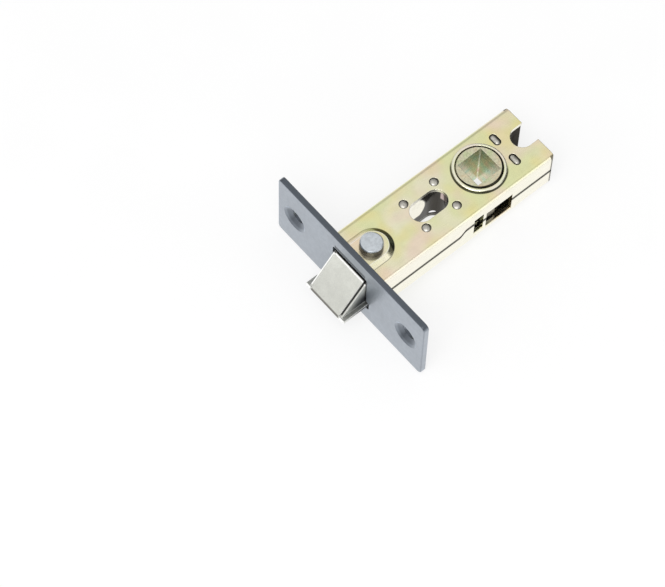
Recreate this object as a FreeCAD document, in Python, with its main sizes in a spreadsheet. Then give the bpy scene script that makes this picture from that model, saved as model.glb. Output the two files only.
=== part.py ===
import FreeCAD, Part
import math
import os

import Sketcher

# Tubular door latch for bolt-through door furniture, modelled in millimetres.
# The origin is the centre of the forend's front face. +X runs into the door along the case,
# +Y runs along the forend, and +Z is the axis of the spindle, so the latch lies on its side.
# The bevelled nose of the bolt points to -X and its bevel faces +Z.

# Driving sizes
SIZES = {
    # Forend
    "forend_length": 57.0,
    "forend_width": 24.4,
    "forend_thickness": 1.6,
    "forend_corner_radius": 1.3,
    "forend_edge_radius": 0.35,
    "screw_spacing": 43.8,
    "screw_hole_diameter": 4.5,
    "screw_sink_diameter": 8.3,
    "screw_sink_angle": 110.0,
    "sink_back_radius": 3.9,
    "sink_back_depth": 0.7,
    "sink_back_slope": 50.0,
    "aperture_clearance": 0.35,
    "aperture_corner_radius": 0.5,
    "ear_thickness": 1.2,
    "ear_half_width": 4.2,
    "ear_side_gap": 0.25,
    "ear_ceiling_gap": 0.02,
    "ear_bend_recess": 0.32,
    "ear_bend_radius": 1.0,
    # Case shells
    "case_half_width": 9.7,
    "case_half_height": 6.77,
    "sheet_thickness": 1.1,
    "bend_radius": 1.6,
    "seam_gap": 0.4,
    "tail_reach": 17.8,
    "tail_corner": 0.6,
    # Raised boss round the rivets
    "boss_centre": 8.0,
    "boss_wall": 0.85,
    "boss_rise": 1.0,
    "boss_slope": 52.0,
    "rivet_offset": 0.8,
    "rivet_head_diameter": 6.2,
    "rivet_head_height": 2.3,
    "rivet_head_chamfer": 0.3,
    "rivet_shank_diameter": 3.6,
    # Fixing slot and its spacer
    "slot_to_spindle": 17.3,
    "slot_length": 11.4,
    "slot_width": 6.4,
    "front_spacer_front_wall": 1.0,
    "front_spacer_rear_wall": 1.2,
    "front_spacer_corner_radius": 0.7,
    "spacer_leg_gap": 0.45,
    "stake_offset": 0.5,
    "stake_pitch_x": 10.4,
    "stake_pitch_y": 9.0,
    "stake_diameter": 2.1,
    "stake_hole_gap": 0.22,
    "stake_recess": 0.3,
    # Tail notch and its spacer
    "notch_to_spindle": 15.0,
    "notch_width": 6.4,
    "slide_end_gap": 0.48,
    "rear_stake_inset": 1.4,
    "rear_stake_pitch": 7.7,
    "rear_stake_long": 3.3,
    "rear_stake_short": 1.7,
    # Side windows and the interlocking tab
    "window_before_spindle": 5.6,
    "window_after_spindle": 3.4,
    "window_drop": 4.5,
    "window_lip_radius": 0.9,
    "window_sill_radius": 0.3,
    "relief_length": 0.9,
    "relief_rise": 2.5,
    "post_length": 1.0,
    "port_length": 3.2,
    "port_rise": 2.65,
    "port_drop": 3.6,
    "tab_length": 4.8,
    "tab_height": 1.4,
    "tab_slope": 2.4,
    # Follower
    "backset": 44.0,
    "spindle_square": 7.9,
    "journal_diameter": 12.5,
    "journal_clearance": 0.2,
    "journal_stand_out": 0.13,
    "collar_wall": 0.87,
    "collar_rise": 0.75,
    "collar_edge_radius": 0.4,
    "follower_edge_chamfer": 0.3,
    "arm_stand_out": 1.5,
    "arm_tip_radius": 1.0,
    "arm_lead_angle": 31.0,
    "arm_half_height": 1.4,
    "arm_window_gap": 0.4,
    # Draw slide: its legs run between the follower's barrel and the case's walls
    "leg_thickness": 1.3,
    "slide_clearance": 0.35,
    "slide_side_gap": 0.45,
    "slide_top_gap": 0.97,
    "leg_window_length": 6.6,
    "arm_gap": 0.3,
    "pad_length": 1.7,
    "yoke_thickness": 1.0,
    "flange_stop_gap": 0.51,
    # Latch bolt and its tail
    "bolt_reach": 8.3,
    "bolt_ear_gap": 0.25,
    "bolt_side_gap": 1.1,
    "bolt_ledge": 1.2,
    "bolt_plate_inset": 0.85,
    "bolt_plate_rise": 0.35,
    "bolt_plate_nose_inset": 0.175,
    "bolt_wedge_nose_inset": 0.56,
    "bolt_wedge_root": 0.2,
    "bolt_base_thickness": 0.85,
    "bolt_nose_radius": 0.35,
    "bolt_bevel_start": 0.1,
    "bolt_inside_length": 3.2,
    "tail_radius": 3.7,
    "tail_wall": 0.8,
    "tail_socket_depth": 2.4,
    "tail_flange_side_gap": 0.45,
    "tail_flange_drop": 0.2,
    "tail_flange_thickness": 1.3,
    "tail_pin_diameter": 1.6,
    "tail_pin_inset": 0.1,
    # Spring and its guide
    "spring_bore_gap": 0.3,
    "spring_wire": 0.7,
    "spring_turns": 8.0,
    "spring_end_gap": 0.1,
    "guide_spring_gap": 0.5,
    "guide_tip_gap": 0.46,
    "guide_tip_chamfer": 0.3,
    "guide_collar_thickness": 0.7,
    "guide_spigot_depth": 0.7,
    # Clearance between pieces that slide past each other
    "running_gap": 0.3,
}

doc = FreeCAD.newDocument("tubular_latch")
sheet = doc.addObject("Spreadsheet::Sheet", "Sizes")
for row, (alias, number) in enumerate(SIZES.items(), start=1):
    sheet.set(f"A{row}", alias)
    sheet.set(f"B{row}", str(number))
    sheet.setAlias(f"B{row}", alias)
doc.recompute()


class Size:
    """A length or angle that knows its value and the sheet expression it comes from."""

    def __init__(self, value, text=None):
        self.value = float(value)
        self.text = text if text is not None else f"({self.value:.9g})"

    def __add__(self, other):
        other = as_size(other)
        return Size(self.value + other.value, f"({self.text} + {other.text})")

    def __sub__(self, other):
        other = as_size(other)
        return Size(self.value - other.value, f"({self.text} - {other.text})")

    def __mul__(self, other):
        other = as_size(other)
        return Size(self.value * other.value, f"({self.text} * {other.text})")

    def __truediv__(self, other):
        other = as_size(other)
        return Size(self.value / other.value, f"({self.text} / {other.text})")

    def __neg__(self):
        return self * -1

    def __radd__(self, other):
        return as_size(other) + self

    def __rsub__(self, other):
        return as_size(other) - self

    def __rmul__(self, other):
        return as_size(other) * self


def as_size(item):
    return item if isinstance(item, Size) else Size(item)


def size(alias):
    """The named driving size, tied to its cell."""
    return Size(float(sheet.get(alias)), f"Sizes.{alias}")


def sine(angle):
    return Size(math.sin(math.radians(angle.value)), f"sin({angle.text})")


def bind(item, name, amount):
    item.setExpression(name, as_size(amount).text)


# Bodies, sketches and features
def new_body(label):
    body = doc.addObject("PartDesign::Body", label)
    body.Label = label
    return body


def new_sketch(body, plane_role, height=0, turn=None):
    """A sketch on one of the body's own planes, moved along its normal by height."""
    plane = next(item for item in body.Origin.OriginFeatures if item.Role == plane_role)
    sketch = body.newObject("Sketcher::SketchObject", f"{body.Label}_sketch")
    sketch.AttachmentSupport = (plane, [""])
    sketch.MapMode = "FlatFace"
    bind(sketch, "AttachmentOffset.Base.z", height)
    if turn is not None:
        bind(sketch, "AttachmentOffset.Rotation.Angle", turn)
    return sketch


def place_point(sketch, geometry, point, x, y):
    """Hold one point of the sketch at x, y from the sketch's origin."""
    for kind, amount in (("DistanceX", x), ("DistanceY", y)):
        amount = as_size(amount)
        constraint = Sketcher.Constraint(kind, -1, 1, geometry, point, amount.value)
        number = sketch.addConstraint(constraint)
        sketch.setExpression(f"Constraints[{number}]", amount.text)


def hold_radius(sketch, geometry, radius):
    number = sketch.addConstraint(Sketcher.Constraint("Radius", geometry, radius.value))
    sketch.setExpression(f"Constraints[{number}]", radius.text)


def draw_outline(sketch, corners):
    """A closed outline of straight lines through the corners."""
    points = [(as_size(x), as_size(y)) for x, y in corners]
    vectors = [FreeCAD.Vector(x.value, y.value, 0) for x, y in points]
    lines = []
    for index, start in enumerate(vectors):
        end = vectors[(index + 1) % len(vectors)]
        lines.append(sketch.addGeometry(Part.LineSegment(start, end)))
    for index, line in enumerate(lines):
        following = lines[(index + 1) % len(lines)]
        sketch.addConstraint(Sketcher.Constraint("Coincident", line, 2, following, 1))
        place_point(sketch, line, 1, *points[index])


def draw_box(sketch, low_x, low_y, high_x, high_y):
    draw_outline(sketch, [(low_x, low_y), (high_x, low_y), (high_x, high_y), (low_x, high_y)])


def draw_circle(sketch, x, y, radius):
    x, y, radius = as_size(x), as_size(y), as_size(radius)
    centre = FreeCAD.Vector(x.value, y.value, 0)
    circle = sketch.addGeometry(Part.Circle(centre, FreeCAD.Vector(0, 0, 1), radius.value))
    place_point(sketch, circle, 3, x, y)
    hold_radius(sketch, circle, radius)


def add_arc(sketch, centre, radius, start_degrees, end_degrees):
    circle = Part.Circle(centre, FreeCAD.Vector(0, 0, 1), radius)
    arc = Part.ArcOfCircle(circle, math.radians(start_degrees), math.radians(end_degrees))
    return sketch.addGeometry(arc)


def join_tangent(sketch, first, first_point, second, second_point):
    sketch.addConstraint(Sketcher.Constraint("Tangent", first, first_point, second, second_point))


def draw_slot(sketch, low, high, across, radius, upright=False):
    """An oblong with round ends centred at low and high along x, or along y if upright."""
    low, high, across, radius = (as_size(item) for item in (low, high, across, radius))
    centres = [(low, across), (high, across)]
    quarter = 0
    if upright:
        centres = [(across, low), (across, high)]
        quarter = 90
    (x1, y1), (x2, y2) = centres
    first = FreeCAD.Vector(x1.value, y1.value, 0)
    second = FreeCAD.Vector(x2.value, y2.value, 0)
    side = FreeCAD.Vector(math.cos(math.radians(quarter + 90)), math.sin(math.radians(quarter + 90)), 0)
    side = side * radius.value
    near_end = add_arc(sketch, first, radius.value, quarter + 90, quarter + 270)
    far_end = add_arc(sketch, second, radius.value, quarter - 90, quarter + 90)
    lower = sketch.addGeometry(Part.LineSegment(first - side, second - side))
    upper = sketch.addGeometry(Part.LineSegment(second + side, first + side))
    join_tangent(sketch, near_end, 2, lower, 1)
    join_tangent(sketch, lower, 2, far_end, 1)
    join_tangent(sketch, far_end, 2, upper, 1)
    join_tangent(sketch, upper, 2, near_end, 1)
    place_point(sketch, near_end, 3, x1, y1)
    place_point(sketch, far_end, 3, x2, y2)
    hold_radius(sketch, near_end, radius)


def draw_round_end(sketch, start, centre, radius):
    """A D outline: straight sides from start, closed by an arc about centre on the x axis."""
    middle = FreeCAD.Vector(centre.value, 0, 0)
    arc = add_arc(sketch, middle, radius.value, -90, 90)
    corners = [
        (centre.value, radius.value),
        (start.value, radius.value),
        (start.value, -radius.value),
        (centre.value, -radius.value),
    ]
    vectors = [FreeCAD.Vector(x, y, 0) for x, y in corners]
    sides = [
        sketch.addGeometry(Part.LineSegment(vectors[index], vectors[index + 1])) for index in range(3)
    ]
    sketch.addConstraint(Sketcher.Constraint("Coincident", arc, 2, sides[0], 1))
    sketch.addConstraint(Sketcher.Constraint("Coincident", sides[0], 2, sides[1], 1))
    sketch.addConstraint(Sketcher.Constraint("Coincident", sides[1], 2, sides[2], 1))
    sketch.addConstraint(Sketcher.Constraint("Coincident", sides[2], 2, arc, 1))
    place_point(sketch, arc, 3, centre, 0)
    hold_radius(sketch, arc, radius)
    for end in (1, 2):
        sketch.addConstraint(Sketcher.Constraint("Vertical", arc, end, arc, 3))
    place_point(sketch, sides[1], 1, start, radius)
    place_point(sketch, sides[1], 2, start, -radius)


def pad(body, sketch, length, reverse=False, both_sides=False, taper=None):
    feature = body.newObject("PartDesign::Pad", f"{body.Label}_pad")
    feature.Profile = sketch
    feature.Reversed = reverse
    feature.Midplane = both_sides
    bind(feature, "Length", length)
    if taper is not None:
        bind(feature, "TaperAngle", taper)
    doc.recompute()
    return feature


def pocket(body, sketch, length, reverse=False, both_sides=False):
    """Cut the sketch out of the body, and make sure that the cut took material away."""
    before = body.Shape.Volume
    feature = body.newObject("PartDesign::Pocket", f"{body.Label}_pocket")
    feature.Profile = sketch
    feature.Reversed = reverse
    feature.Midplane = both_sides
    bind(feature, "Length", length)
    doc.recompute()
    if not body.Shape.Volume < before:
        raise RuntimeError(f"{feature.Name} cuts nothing from {body.Label}")
    return feature


def revolve(body, sketch, axis):
    feature = body.newObject("PartDesign::Revolution", f"{body.Label}_turning")
    feature.Profile = sketch
    feature.ReferenceAxis = (sketch, [axis])
    feature.Angle = 360.0
    doc.recompute()
    return feature


def matching_edges(shape, test):
    return [f"Edge{number}" for number, edge in enumerate(shape.Edges, start=1) if test(edge)]


def dress(body, kind, base, test, amount):
    """Fillet or chamfer the edges of base that pass the test."""
    feature = body.newObject(f"PartDesign::{kind}", f"{body.Label}_{kind.lower()}")
    feature.Base = (base, matching_edges(base.Shape, test))
    bind(feature, "Radius" if kind == "Fillet" else "Size", amount)
    doc.recompute()
    return feature


def runs_along(edge, axis):
    """Whether the edge is straight and parallel to the axis."""
    if edge.Curve.TypeId != "Part::GeomLine":
        return False
    return abs(abs(edge.Curve.Direction.dot(axis)) - 1) < 1e-6


X_AXIS = FreeCAD.Vector(1, 0, 0)
Y_AXIS = FreeCAD.Vector(0, 1, 0)
Z_AXIS = FreeCAD.Vector(0, 0, 1)
TOUCH = 1e-4


# Sizes worked out from the driving ones
case_front = size("forend_thickness")
case_tail = size("backset") + size("tail_reach")
inside_half_width = size("case_half_width") - size("sheet_thickness")
inside_half_height = size("case_half_height") - size("sheet_thickness")
# Boss, ear and rivet
boss_top = size("case_half_height") + size("boss_rise")
boss_ceiling = boss_top - size("sheet_thickness")
boss_inside = size("ear_half_width") + size("ear_side_gap")
boss_half_width = boss_inside + size("boss_wall")
ear_outer = boss_ceiling - size("ear_ceiling_gap")
ear_inner = ear_outer - size("ear_thickness")
rivet_centre = size("boss_centre") - size("rivet_offset")
# Follower between the slide's legs; its arms swing through equal angles either side of square
journal_radius = size("journal_diameter") / 2
journal_bore = journal_radius + size("journal_clearance")
collar_radius = journal_bore + size("collar_wall")
collar_top = size("case_half_height") + size("collar_rise")
leg_outside = inside_half_width - size("slide_side_gap")
leg_inside = leg_outside - size("leg_thickness")
barrel_radius = leg_inside - size("slide_clearance")
arm_reach = barrel_radius + size("arm_stand_out")
arm_back = arm_reach * sine(size("arm_lead_angle"))
travel = arm_back * 2
arm_window = size("arm_half_height") + size("arm_window_gap")
# Draw slide
pad_face = size("backset") - arm_back + size("arm_tip_radius") + size("arm_gap")
slide_rear = pad_face + size("pad_length")
leg_half_height = inside_half_height - size("slide_top_gap")
# Fixing slot, tail notch and the spacers round them
slot_centre = size("backset") - size("slot_to_spindle")
slot_radius = size("slot_width") / 2
slot_low = slot_centre - size("slot_length") / 2 + slot_radius
slot_high = slot_centre + size("slot_length") / 2 - slot_radius
spacer_front = slot_low - slot_radius - size("front_spacer_front_wall")
spacer_rear = slot_high + slot_radius + size("front_spacer_rear_wall")
front_spacer_half_width = leg_inside - size("spacer_leg_gap")
stake_centre = slot_centre + size("stake_offset")
stake_top = size("case_half_height") - size("stake_recess")
notch_centre = size("backset") + size("notch_to_spindle")
notch_radius = size("notch_width") / 2
rear_spacer_front = slide_rear + travel + size("slide_end_gap")
rear_stake_x = rear_spacer_front + size("rear_stake_inset")
# Side windows
window_start = size("backset") - size("window_before_spindle")
window_end = size("backset") + size("window_after_spindle")
port_end = window_start - size("post_length")
port_start = port_end - size("port_length")
tab_start = port_start - size("tab_length")
# Bolt
nose = -size("bolt_reach")
bolt_half_height = ear_inner - size("bolt_ear_gap")
base_half_width = inside_half_width - size("bolt_side_gap")
wedge_half_width = base_half_width - size("bolt_ledge")
plate_half_width = wedge_half_width - size("bolt_plate_inset")
base_top = size("bolt_base_thickness") - bolt_half_height
bolt_rear = size("bolt_inside_length")
aperture_half_height = ear_outer + size("aperture_clearance")
# Tail, whose flange stops short of the front spacer when the bolt is drawn right in
tail_front = bolt_rear - size("tail_socket_depth")
tail_bore = size("tail_radius") - size("tail_wall")
flange_rear = spacer_front - size("flange_stop_gap") - travel
flange_front = flange_rear - size("tail_flange_thickness")
flange_half_width = leg_inside - size("tail_flange_side_gap")
flange_half_height = bolt_half_height - size("tail_flange_drop")
yoke_rear = flange_front - size("running_gap") / 2
yoke_front = yoke_rear - size("yoke_thickness")
pin_x = bolt_rear - size("tail_socket_depth") / 2
pin_half_length = wedge_half_width - size("tail_pin_inset")
# Spring and guide
spring_radius = tail_bore - size("spring_bore_gap")
guide_radius = spring_radius - size("spring_wire") - size("guide_spring_gap")
guide_tip = bolt_rear + travel + size("guide_tip_gap")
guide_collar_front = spacer_front - size("guide_collar_thickness")


# Forend: a plate with two folded ears that reach back over the case's end
def make_forend():
    body = new_body("forend")
    half_length = size("forend_length") / 2
    half_width = size("forend_width") / 2
    sketch = new_sketch(body, "YZ_Plane")
    draw_box(sketch, -half_length, -half_width, half_length, half_width)
    plate = pad(body, sketch, size("forend_thickness"))
    corner = lambda edge: runs_along(edge, X_AXIS)
    rounded = dress(body, "Fillet", plate, corner, size("forend_corner_radius"))
    front = lambda edge: edge.BoundBox.XMax < TOUCH
    dress(body, "Fillet", rounded, front, size("forend_edge_radius"))
    # The opening is stepped: wide for the bolt's base, narrower for its wedge
    gap = size("aperture_clearance")
    wide = base_half_width + gap
    narrow = wedge_half_width + gap
    step = base_top + gap
    top = aperture_half_height
    sketch = new_sketch(body, "YZ_Plane")
    draw_outline(sketch, [
        (-wide, -top), (wide, -top), (wide, step), (narrow, step),
        (narrow, top), (-narrow, top), (-narrow, step), (-wide, step),
    ])
    opening = pocket(body, sketch, size("forend_thickness"), reverse=True)

    def inner_corner(edge):
        middle = edge.CenterOfMass
        inside = abs(middle.y) < wide.value + TOUCH and abs(middle.z) < top.value + TOUCH
        at_step = abs(abs(middle.y) - narrow.value) < TOUCH and abs(middle.z - step.value) < TOUCH
        return runs_along(edge, X_AXIS) and inside and not at_step

    dress(body, "Fillet", opening, inner_corner, size("aperture_corner_radius"))
    for side in (1, -1):
        add_ear(body, side)
    add_screw_holes(body)
    return body


def add_ear(body, side):
    """One ear, folded back from the edge of the opening and drilled for its rivet."""
    outer = ear_outer * side
    inner = ear_inner * side
    root = aperture_half_height * side
    bend_front = size("ear_bend_recess")
    bend_rear = case_front + size("ear_thickness")
    sketch = new_sketch(body, "XZ_Plane")
    draw_outline(sketch, [
        (bend_front, root), (bend_front, inner), (bend_rear, inner), (bend_rear, outer),
        (case_front, outer), (case_front, root),
    ])
    bend = pad(body, sketch, size("ear_half_width") * 2, both_sides=True)

    def throat(edge):
        middle = edge.CenterOfMass
        at_corner = abs(middle.x - bend_front.value) < TOUCH and abs(middle.z - inner.value) < TOUCH
        return runs_along(edge, Y_AXIS) and at_corner

    dress(body, "Fillet", bend, throat, size("ear_bend_radius"))
    sketch = new_sketch(body, "XY_Plane", inner if side > 0 else outer)
    draw_round_end(sketch, case_front, size("boss_centre"), size("ear_half_width"))
    pad(body, sketch, size("ear_thickness"))
    sketch = new_sketch(body, "XY_Plane", inner if side > 0 else outer)
    draw_circle(sketch, rivet_centre, 0, size("rivet_shank_diameter") / 2)
    pocket(body, sketch, size("ear_thickness"), reverse=True)


def add_screw_holes(body):
    """Countersunk holes in dimples, which are pressed through to the forend's back."""
    sketch = new_sketch(body, "YZ_Plane", size("forend_thickness"))
    for side in (1, -1):
        draw_circle(sketch, size("screw_spacing") / 2 * side, 0, size("sink_back_radius"))
    pad(body, sketch, size("sink_back_depth"), taper=-size("sink_back_slope"))
    sketch = new_sketch(body, "YZ_Plane")
    for side in (1, -1):
        draw_circle(sketch, size("screw_spacing") / 2 * side, 0, size("screw_hole_diameter") / 2)
    doc.recompute()
    before = body.Shape.Volume
    hole = body.newObject("PartDesign::Hole", "screw_holes")
    hole.Profile = sketch
    hole.DepthType = "ThroughAll"
    hole.HoleCutType = "Countersink"
    hole.HoleCutCustomValues = True
    bind(hole, "Diameter", size("screw_hole_diameter"))
    bind(hole, "HoleCutDiameter", size("screw_sink_diameter"))
    bind(hole, "HoleCutCountersinkAngle", size("screw_sink_angle"))
    hole.Reversed = True
    doc.recompute()
    if not body.Shape.Volume < before:
        raise RuntimeError("the screw holes cut nothing")


# Case shells: two pressed channels that meet at the seam, one the mirror of the other
def make_case_shell(label, side):
    body = new_body(label)
    half_width = size("case_half_width")
    half_height = size("case_half_height")
    seam = size("seam_gap") / 2
    sketch = new_sketch(body, "YZ_Plane", case_front)
    draw_outline(sketch, [
        (-half_width, seam * side), (-half_width, half_height * side),
        (half_width, half_height * side), (half_width, seam * side),
        (inside_half_width, seam * side), (inside_half_width, inside_half_height * side),
        (-inside_half_width, inside_half_height * side), (-inside_half_width, seam * side),
    ])
    channel = pad(body, sketch, case_tail - case_front)

    def outer_bend(edge):
        middle = edge.CenterOfMass
        return runs_along(edge, X_AXIS) and abs(middle.z * side - half_height.value) < TOUCH

    def inner_bend(edge):
        middle = edge.CenterOfMass
        return runs_along(edge, X_AXIS) and abs(middle.z * side - inside_half_height.value) < TOUCH

    bent = dress(body, "Fillet", channel, outer_bend, size("bend_radius"))
    dress(body, "Fillet", bent, inner_bend, size("bend_radius") - size("sheet_thickness"))
    add_boss(body, side)
    add_collar(body, side)
    cut_case_openings(body, side)
    cut_side_windows(body, side)
    return body


def add_boss(body, side):
    """The D boss pressed outwards over the forend's ear, and its rivet hole."""
    sketch = new_sketch(body, "XY_Plane", size("case_half_height") * side)
    draw_round_end(sketch, case_front, size("boss_centre"), boss_half_width)
    pad(body, sketch, size("boss_rise"), reverse=side < 0, taper=-size("boss_slope"))
    sketch = new_sketch(body, "XY_Plane", boss_ceiling * side)
    draw_round_end(sketch, case_front, size("boss_centre"), boss_inside)
    pocket(body, sketch, size("boss_rise") + size("bend_radius"), reverse=side < 0)
    sketch = new_sketch(body, "XY_Plane", boss_top * side)
    draw_circle(sketch, rivet_centre, 0, size("rivet_shank_diameter") / 2)
    pocket(body, sketch, size("sheet_thickness") * 2, reverse=side < 0)


def add_collar(body, side):
    """The rim drawn up round the follower's journal."""
    sketch = new_sketch(body, "XY_Plane", size("case_half_height") * side)
    draw_circle(sketch, size("backset"), 0, collar_radius)
    rim = pad(body, sketch, size("collar_rise"), reverse=side < 0)

    def rim_edge(edge):
        round_edge = edge.Curve.TypeId == "Part::GeomCircle"
        at_top = abs(edge.CenterOfMass.z * side - collar_top.value) < TOUCH
        return round_edge and at_top and abs(edge.Curve.Radius - collar_radius.value) < TOUCH

    dress(body, "Fillet", rim, rim_edge, size("collar_edge_radius"))
    sketch = new_sketch(body, "XY_Plane", collar_top * side)
    draw_circle(sketch, size("backset"), 0, journal_bore)
    pocket(body, sketch, size("collar_rise") + size("sheet_thickness") * 2, reverse=side < 0)


def cut_case_openings(body, side):
    """The fixing slot, the tail notch and the stake holes, through the flat of the shell."""
    depth = size("sheet_thickness") * 2
    top = size("case_half_height") * side
    sketch = new_sketch(body, "XY_Plane", top)
    draw_slot(sketch, slot_low, slot_high, 0, slot_radius)
    for along in (-1, 1):
        for across in (-1, 1):
            draw_circle(sketch, stake_centre + size("stake_pitch_x") / 2 * along,
                        size("stake_pitch_y") / 2 * across,
                        size("stake_diameter") / 2 + size("stake_hole_gap"))
    for across in (-1, 1):
        middle = size("rear_stake_pitch") / 2 * across
        reach = (size("rear_stake_long") - size("rear_stake_short")) / 2
        draw_slot(sketch, middle - reach, middle + reach, rear_stake_x,
                  size("rear_stake_short") / 2 + size("stake_hole_gap"), upright=True)
    pocket(body, sketch, depth, reverse=side < 0)
    sketch = new_sketch(body, "XY_Plane", top)
    draw_slot(sketch, notch_centre, case_tail + notch_radius, 0, notch_radius)
    pocket(body, sketch, depth, reverse=side < 0)
    for across in (-1, 1):
        sketch = new_sketch(body, "XY_Plane", top)
        draw_outline(sketch, [
            (case_tail - size("tail_corner"), size("case_half_width") * across),
            (case_tail, (size("case_half_width") - size("tail_corner")) * across),
            (case_tail, size("case_half_width") * across),
        ])
        pocket(body, sketch, size("case_half_height"), reverse=side < 0)


def cut_side_windows(body, side):
    """Notches in both side walls: the arm window, the small port and the seat of the tab."""
    width = size("case_half_width") * 3
    seam = size("seam_gap") / 2 * side
    window_edge = arm_window if side > 0 else -size("window_drop")
    port_edge = size("port_rise") if side > 0 else -size("port_drop")
    sketch = new_sketch(body, "XZ_Plane")
    draw_box(sketch, window_start, seam, window_end, window_edge)
    draw_box(sketch, port_start, seam, port_end, port_edge)
    cut = pocket(body, sketch, width, both_sides=True)

    def lip(edge):
        middle = edge.CenterOfMass
        outside = abs(abs(middle.y) - size("case_half_width").value) < TOUCH
        at_opening = min(abs(middle.z - window_edge.value), abs(middle.z - port_edge.value)) < TOUCH
        return runs_along(edge, X_AXIS) and outside and at_opening

    dress(body, "Fillet", cut, lip, size("window_lip_radius" if side > 0 else "window_sill_radius"))
    tab_slope_end = tab_start + size("tab_slope")
    gap = size("seam_gap")
    if side > 0:
        sketch = new_sketch(body, "XZ_Plane")
        draw_box(sketch, window_end - size("relief_length"), seam, window_end, size("relief_rise"))
        pocket(body, sketch, width, both_sides=True)
        level = size("tab_height") + gap
        sketch = new_sketch(body, "XZ_Plane")
        draw_outline(sketch, [
            (tab_start - gap, seam), (port_start, seam), (port_start, level), (tab_slope_end - gap, level),
        ])
        pocket(body, sketch, width, both_sides=True)
        return
    for across in (-1, 1):
        sketch = new_sketch(body, "XZ_Plane", size("case_half_width") * across)
        draw_outline(sketch, [
            (tab_start, seam), (port_start, seam),
            (port_start, size("tab_height")), (tab_slope_end, size("tab_height")),
        ])
        pad(body, sketch, size("sheet_thickness"), reverse=across > 0)


# Rivets through the boss and the ear
def make_case_rivet(label, side):
    body = new_body(label)
    shank = size("rivet_shank_diameter") / 2
    head = size("rivet_head_diameter") / 2
    top = boss_top + size("rivet_head_height")
    corner = size("rivet_head_chamfer")
    sketch = new_sketch(body, "XZ_Plane")
    draw_outline(sketch, [
        (0, ear_inner * side), (shank, ear_inner * side), (shank, boss_top * side),
        (head, boss_top * side), (head, (top - corner) * side), (head - corner, top * side),
        (0, top * side),
    ])
    revolve(body, sketch, "V_Axis")
    bind(body, "Placement.Base.x", rivet_centre)
    return body


# Spacers: cast blocks between the shells, held by stakes that pass through both
def make_front_spacer():
    body = new_body("front_spacer")
    sketch = new_sketch(body, "XY_Plane")
    draw_box(sketch, spacer_front, -front_spacer_half_width, spacer_rear, front_spacer_half_width)
    block = pad(body, sketch, inside_half_height * 2, both_sides=True)
    upright = lambda edge: runs_along(edge, Z_AXIS)
    dress(body, "Fillet", block, upright, size("front_spacer_corner_radius"))
    sketch = new_sketch(body, "XY_Plane")
    for along in (-1, 1):
        for across in (-1, 1):
            draw_circle(sketch, stake_centre + size("stake_pitch_x") / 2 * along,
                        size("stake_pitch_y") / 2 * across, size("stake_diameter") / 2)
    pad(body, sketch, stake_top * 2, both_sides=True)
    sketch = new_sketch(body, "XY_Plane")
    draw_slot(sketch, slot_low, slot_high, 0, slot_radius)
    pocket(body, sketch, inside_half_height * 3, both_sides=True)
    sketch = new_sketch(body, "YZ_Plane", spacer_front)
    draw_circle(sketch, 0, 0, guide_radius)
    pocket(body, sketch, size("guide_spigot_depth"), reverse=True)
    return body


def make_rear_spacer():
    body = new_body("rear_spacer")
    sketch = new_sketch(body, "XY_Plane")
    half_width = inside_half_width - size("running_gap")
    corner = size("tail_corner")
    rear = case_tail - size("running_gap")
    draw_outline(sketch, [
        (rear_spacer_front, -half_width), (case_tail - corner, -half_width),
        (rear, corner - half_width), (rear, half_width - corner),
        (case_tail - corner, half_width), (rear_spacer_front, half_width),
    ])
    pad(body, sketch, inside_half_height * 2, both_sides=True)
    sketch = new_sketch(body, "XY_Plane")
    for across in (-1, 1):
        middle = size("rear_stake_pitch") / 2 * across
        reach = (size("rear_stake_long") - size("rear_stake_short")) / 2
        draw_slot(sketch, middle - reach, middle + reach, rear_stake_x,
                  size("rear_stake_short") / 2, upright=True)
    pad(body, sketch, stake_top * 2, both_sides=True)
    sketch = new_sketch(body, "XY_Plane")
    draw_slot(sketch, notch_centre, case_tail + notch_radius, 0, notch_radius)
    pocket(body, sketch, inside_half_height * 3, both_sides=True)
    return body


# Follower: the square-holed hub with two arms that reach into the draw slide
def make_follower():
    body = new_body("follower")
    corner = size("follower_edge_chamfer")
    half_length = collar_top + size("journal_stand_out")
    shoulder = inside_half_height - size("running_gap") / 2
    sketch = new_sketch(body, "XZ_Plane")
    draw_outline(sketch, [
        (0, -half_length), (journal_radius - corner, -half_length),
        (journal_radius, corner - half_length), (journal_radius, -shoulder),
        (barrel_radius, -shoulder), (barrel_radius, shoulder), (journal_radius, shoulder),
        (journal_radius, half_length - corner), (journal_radius - corner, half_length),
        (0, half_length),
    ])
    revolve(body, sketch, "V_Axis")
    for across in (-1, 1):
        sketch = new_sketch(body, "XY_Plane", 0, turn=(size("arm_lead_angle") + 90) * across)
        draw_slot(sketch, 0, arm_reach, 0, size("arm_tip_radius"))
        pad(body, sketch, size("arm_half_height") * 2, both_sides=True)
    sketch = new_sketch(body, "XY_Plane")
    half_square = size("spindle_square") / 2
    draw_box(sketch, -half_square, -half_square, half_square, half_square)
    pocket(body, sketch, half_length * 3, both_sides=True)
    bind(body, "Placement.Base.x", size("backset"))
    return body


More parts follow.
